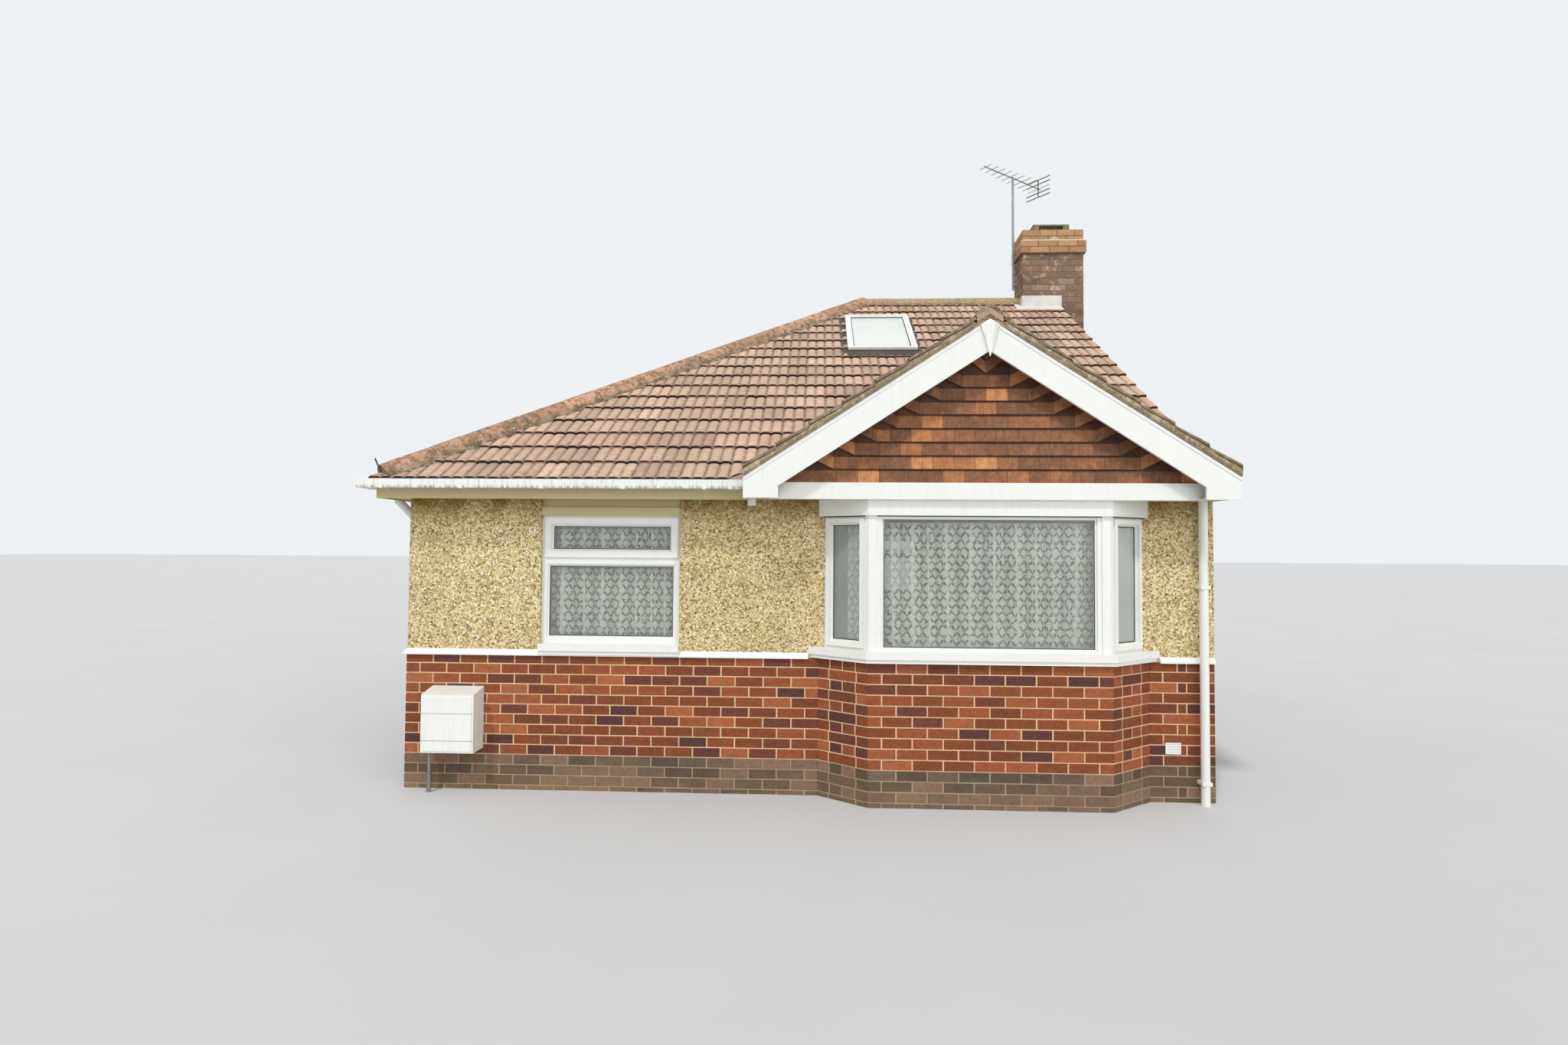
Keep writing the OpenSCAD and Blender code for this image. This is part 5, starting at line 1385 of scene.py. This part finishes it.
def hang_net(name, plate, rng):
    """A gathered net in the space of its CAD plate, with a flat UV map of the size it was cut to."""
    s = bpy.context.scene.bungalow_nets
    strip, levels = .0045, 14  # width of a strip of net, and rows of strips in its height
    count = int(plate.wide / strip)
    phase = fold_phases(plate.wide, count, rng)
    laps = [rng.uniform(.55, 1.25) for _ in range(int(phase[-1] / math.pi) + 3)]
    drift = rng.uniform(0, 9)
    rows, tones = [], []
    foot, head = plate.low + .003, plate.high - .009
    calm = .05  # width over which the folds die down at each end
    for r in range(levels + 1):
        t = r / levels
        z = foot + (head - foot) * t
        row = []
        for i in range(count + 1):
            u = plate.wide * i / count
            edge = min(1., u / calm, (plate.wide - u) / calm)
            p = phase[i] + 1.1 * noise.noise(Vector((u * 3.2 + drift, t * 1.1, drift))) * (1.2 - t)
            # The folds lap over, and stand out more towards the foot.
            x = u + s.lap * laps[int(phase[i] / math.pi)] * edge * math.sin(2 * p)
            y = plate.thick / 2 + s.depth * (1 - .22 * t) * math.sin(p) * (.35 + .65 * edge)
            row.append(plate.place @ Vector((min(max(x, .001), plate.wide - .001), y, z)))
            # The tone paints light and shade across each fold, lightest just beside its crest.
            tones.append(.5 + .5 * math.cos(p + .8))
        rows.append(row)
    spans = [[(b - a).length for a, b in zip(row, row[1:])] for row in rows]
    reach = [0.]
    for step in spans[levels // 2]:
        reach.append(reach[-1] + step)
    data = bpy.data.meshes.new(name)
    wide = count + 1
    faces = [(r * wide + i, r * wide + i + 1, (r + 1) * wide + i + 1, (r + 1) * wide + i)
             for r in range(levels) for i in range(count)]
    data.from_pydata([p for row in rows for p in row], [], faces)
    data.attributes.new("tone", "FLOAT", "POINT").data.foreach_set("value", tones)
    uv = data.uv_layers.new(name="flat")
    for loop in data.loops:
        r, i = divmod(loop.vertex_index, wide)
        uv.data[loop.index].uv = (reach[i], rows[r][0].z - rows[0][0].z)
    made = settle(name, data, "net", 180)
    return made


class BUNGALOW_OT_nets(bpy.types.Operator):
    """Hang the net curtains on their rails"""

    bl_idname = "bungalow.nets"
    bl_label = "Hang the net curtains"

    def execute(self, context):
        rng = chance(6)
        rails = Mesh()
        turns = [math.pi * k / 4 for k in range(8)]
        for node in ("bay_curtains", "window_curtains"):
            plates = [Plate(solid) for solid in solids(node)]
            nets = [hang_net(f"net_{node.split('_')[0]}_{i + 1}", plate, rng)
                    for i, plate in enumerate(plates)]
            for plate in plates:
                y, z = plate.thick / 2, plate.high - .006
                rails.tube([[plate.place @ Vector((x, y + .004 * math.cos(a), z + .005 * math.sin(a)))
                             for a in turns] for x in (0., plate.wide)])
            for piece in nets:
                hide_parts(node)
            dress([node], "net")
        rails.piece("net_rails", "white", "white_plastic", 40)
        return {"FINISHED"}


# Rooflight and fittings


BLIND_DOWN = .042  # from the rooflight's pane down to its blind
BLIND_SHARE = .98  # how much of the pane's two sides the blind covers


class BUNGALOW_OT_rooflight(bpy.types.Operator):
    """Finish the rooflight and draw its blind"""

    bl_idname = "bungalow.rooflight"
    bl_label = "Finish the rooflight"

    def execute(self, context):
        low, across, up, outward = rooflight_pane()
        mesh, rows, count = Mesh(), [], 8
        shares = [.5 + BLIND_SHARE * (i / count - .5) for i in range(count + 1)]
        for j, v in enumerate(shares):
            depth = BLIND_DOWN + .0015 * math.sin(j * 1.3)
            rows.append([low + across * u + up * v - outward * depth for u in shares])
        mesh.grid(rows)
        blind = mesh.piece("rooflight_blind", "blind", "lace", 60)

        seals_and_shadow_strips = Mesh()
        place = Matrix((across.normalized(), up.normalized(), outward)).transposed().to_4x4()
        place.translation = low
        # The dark seal is a gasket round the pane; its wide strip at the head also paints the shadow
        # under the top casing.
        side, head = .009, .022  # widths of the seal
        for x, y in border(0, across.length, 0, up.length, side, head):
            seals_and_shadow_strips.block(place, (x, y, (-.002, .0015)))
        seals_and_shadow_strips.piece("rooflight_seals_and_shadow", "seal_and_shadow", "rooflight_metal")

        # The apron below the frame, folded from one strip: distance down the slope and lift over it.
        apron = Mesh()
        frame_low, frame_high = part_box("rooflight_frame")
        plane = plane_of("roof_front")
        normal = plane[1]
        down = -normal.cross(UP.cross(normal).normalized()).normalized()
        start = Vector((0, frame_low.y, height(plane, 0, frame_low.y)))
        fold = ((-.045, .056), (-.041, .056), (-.040, .026), (.006, .023), (.03, .020), (.085, .019),
                (.09, .008), (.086, .008), (.03, .0155), (-.045, .018))
        apron.tube([[ALONG * x + start + down * away + normal * lift for away, lift in fold]
                    for x in (frame_low.x - .01, frame_high.x + .01)])
        apron.piece("rooflight_apron", "flashing", "rooflight_metal")
        dress(["rooflight_frame"], "cladding")
        dress(["rooflight_pane"], "glass")
        dress(["rooflight_flashing"], "flashing")
        return {"FINISHED"}


class BUNGALOW_OT_fittings(bpy.types.Operator):
    """Finish the boards at the eaves, the gutters and the services"""

    bl_idname = "bungalow.fittings"
    bl_label = "Finish the fittings"

    def execute(self, context):
        dress(["fascias", "soffits"], "shaded")
        dress(["gutters"], "gutter")
        dress(["gutter_brackets", "downpipes", "wall_vent"], "white")
        dress(["meter_box"], "box")
        dress(["meter_pipe"], "alloy")
        low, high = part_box("meter_box")
        seams, place = Mesh(), Matrix.Translation((low.x, low.y, 0))
        inset, seam = .006, .003  # distance from the box's sides, and height of a seam
        for share in (.19, .62):
            z = low.z + (high.z - low.z) * share
            seams.block(place, ((inset, high.x - low.x - inset), (-.0008, .002), (z, z + seam)))
        seams.piece("meter_box_seams", "spacer", "meter_plastic")
        return {"FINISHED"}


# Stage


EYE, LENS = (.1218, -10.8874, 1.9924), 18.63
YAW, PITCH, ROLL = -.0422, .0328, .0071
FLOOR_HALF = 150
SKY_LIGHT, SKY_SEEN = ((.96, .98, 1), .58), ((.86, .88, .9), 1.)  # colours and strengths
LAMPS = (("Sun", 1.5, 6, (.3, .62, -.95)), ("Fill", 1.2, 60, (-.5, .8, -.35)),
         ("Rim", .4, 60, (.3, -.9, -.5)))  # name, strength, angle in degrees and direction


def set_camera(scene):
    """Puts the camera where the photograph was taken."""
    data = bpy.data.cameras.new("Camera")
    camera = bpy.data.objects.new("Camera", data)
    scene.collection.objects.link(camera)
    scene.camera = camera
    data.sensor_width, data.lens, data.clip_end = 36, LENS, 300
    right = Vector((math.cos(YAW), -math.sin(YAW), 0))
    ahead = Vector((math.sin(YAW), math.cos(YAW), 0))
    look = ahead * math.cos(PITCH) + UP * math.sin(PITCH)
    top = UP * math.cos(PITCH) - ahead * math.sin(PITCH)
    turned = Matrix((right * math.cos(ROLL) + top * math.sin(ROLL),
                     top * math.cos(ROLL) - right * math.sin(ROLL), -look))
    camera.matrix_world = Matrix.Translation(EYE) @ turned.transposed().to_4x4()


def set_floor(scene):
    """Lays a plain pale floor under the house."""
    ground = bpy.data.meshes.new("floor")
    corners = [(x * FLOOR_HALF, y * FLOOR_HALF, 0) for x, y in ((-1, -1), (1, -1), (1, 1), (-1, 1))]
    ground.from_pydata(corners, [], [(0, 1, 2, 3)])
    floor = bpy.data.objects.new("floor", ground)
    scene.collection.objects.link(floor)
    pale = Finish("Studio_floor", .9, .1)
    ground.materials.append(pale.done(pale.ramp(pale.noise(.5, 3), [(.3, .60), (.7, .62)])))


def set_world(scene):
    """Lights the house softly from all round, before a paler background."""
    world = bpy.data.worlds.new("Studio")
    world.use_nodes = True
    scene.world = world
    tree = world.node_tree
    tree.nodes.clear()
    out = tree.nodes.new("ShaderNodeOutputWorld")
    path = tree.nodes.new("ShaderNodeLightPath")
    lamp, sight = (tree.nodes.new("ShaderNodeBackground") for _ in range(2))
    for sky, (rgb, strength) in ((lamp, SKY_LIGHT), (sight, SKY_SEEN)):
        sky.inputs[0].default_value, sky.inputs[1].default_value = (*rgb, 1), strength
    join = tree.nodes.new("ShaderNodeMixShader")
    seen = path.outputs["Is Camera Ray"]
    for ray in ("Is Glossy Ray", "Is Transmission Ray"):
        either = tree.nodes.new("ShaderNodeMath")
        either.operation = "MAXIMUM"
        tree.links.new(seen, either.inputs[0])
        tree.links.new(path.outputs[ray], either.inputs[1])
        seen = either.outputs[0]
    for i, socket in enumerate((seen, lamp.outputs[0], sight.outputs[0])):
        tree.links.new(socket, join.inputs[i])
    tree.links.new(join.outputs[0], out.inputs[0])


def set_lamps(scene):
    """Hangs a soft sun and two broad lamps that fill its shade."""
    for name, strength, angle, aim in LAMPS:
        sun = bpy.data.lights.new(name, "SUN")
        sun.energy, sun.angle = strength, math.radians(angle)
        lit = bpy.data.objects.new(name, sun)
        scene.collection.objects.link(lit)
        lit.rotation_mode = "QUATERNION"
        lit.rotation_quaternion = Vector(aim).to_track_quat("-Z", "Y")


class BUNGALOW_OT_stage(bpy.types.Operator):
    """Set the camera, the lamps and a plain pale floor"""

    bl_idname = "bungalow.stage"
    bl_label = "Set the stage"

    def execute(self, context):
        context.scene.view_settings.view_transform = "Standard"
        for step in (set_camera, set_floor, set_world, set_lamps):
            step(context.scene)
        return {"FINISHED"}


OPERATORS = (BUNGALOW_OT_stage, BUNGALOW_OT_walls, BUNGALOW_OT_bricks, BUNGALOW_OT_roof_tiles,
             BUNGALOW_OT_caps, BUNGALOW_OT_gable, BUNGALOW_OT_chimney, BUNGALOW_OT_windows,
             BUNGALOW_OT_nets, BUNGALOW_OT_rooflight, BUNGALOW_OT_fittings)


class BUNGALOW_PT_panel(bpy.types.Panel):
    """Lists the steps that dress the bungalow"""

    bl_idname = "BUNGALOW_PT_panel"
    bl_label = "Bungalow"
    bl_space_type = "VIEW_3D"
    bl_region_type = "UI"
    bl_category = "Bungalow"

    def draw(self, context):
        for name in GROUPS:
            box = self.layout.box()
            group = getattr(context.scene, name)
            for key in group.bl_rna.properties.keys():
                if key not in ("rna_type", "name"):
                    box.prop(group, key)
        for operator in OPERATORS:
            self.layout.operator(operator.bl_idname)


GROUPS = {"bungalow_bricks": BrickSizes, "bungalow_tiles": RoofSizes, "bungalow_nets": NetSizes,
          "bungalow_colours": Colours}
CLASSES = (*GROUPS.values(), *OPERATORS, BUNGALOW_PT_panel)


def register():
    for item in CLASSES:
        bpy.utils.register_class(item)
    for name, group in GROUPS.items():
        setattr(bpy.types.Scene, name, PointerProperty(type=group))


def unregister():
    for name in GROUPS:
        delattr(bpy.types.Scene, name)
    for item in reversed(CLASSES):
        bpy.utils.unregister_class(item)


def main():
    """Dress the whole bungalow."""
    register()
    for operator in OPERATORS:
        step = operator.bl_idname.split(".")[1]
        getattr(bpy.ops.bungalow, step)()


if __name__ == "__main__":
    main()
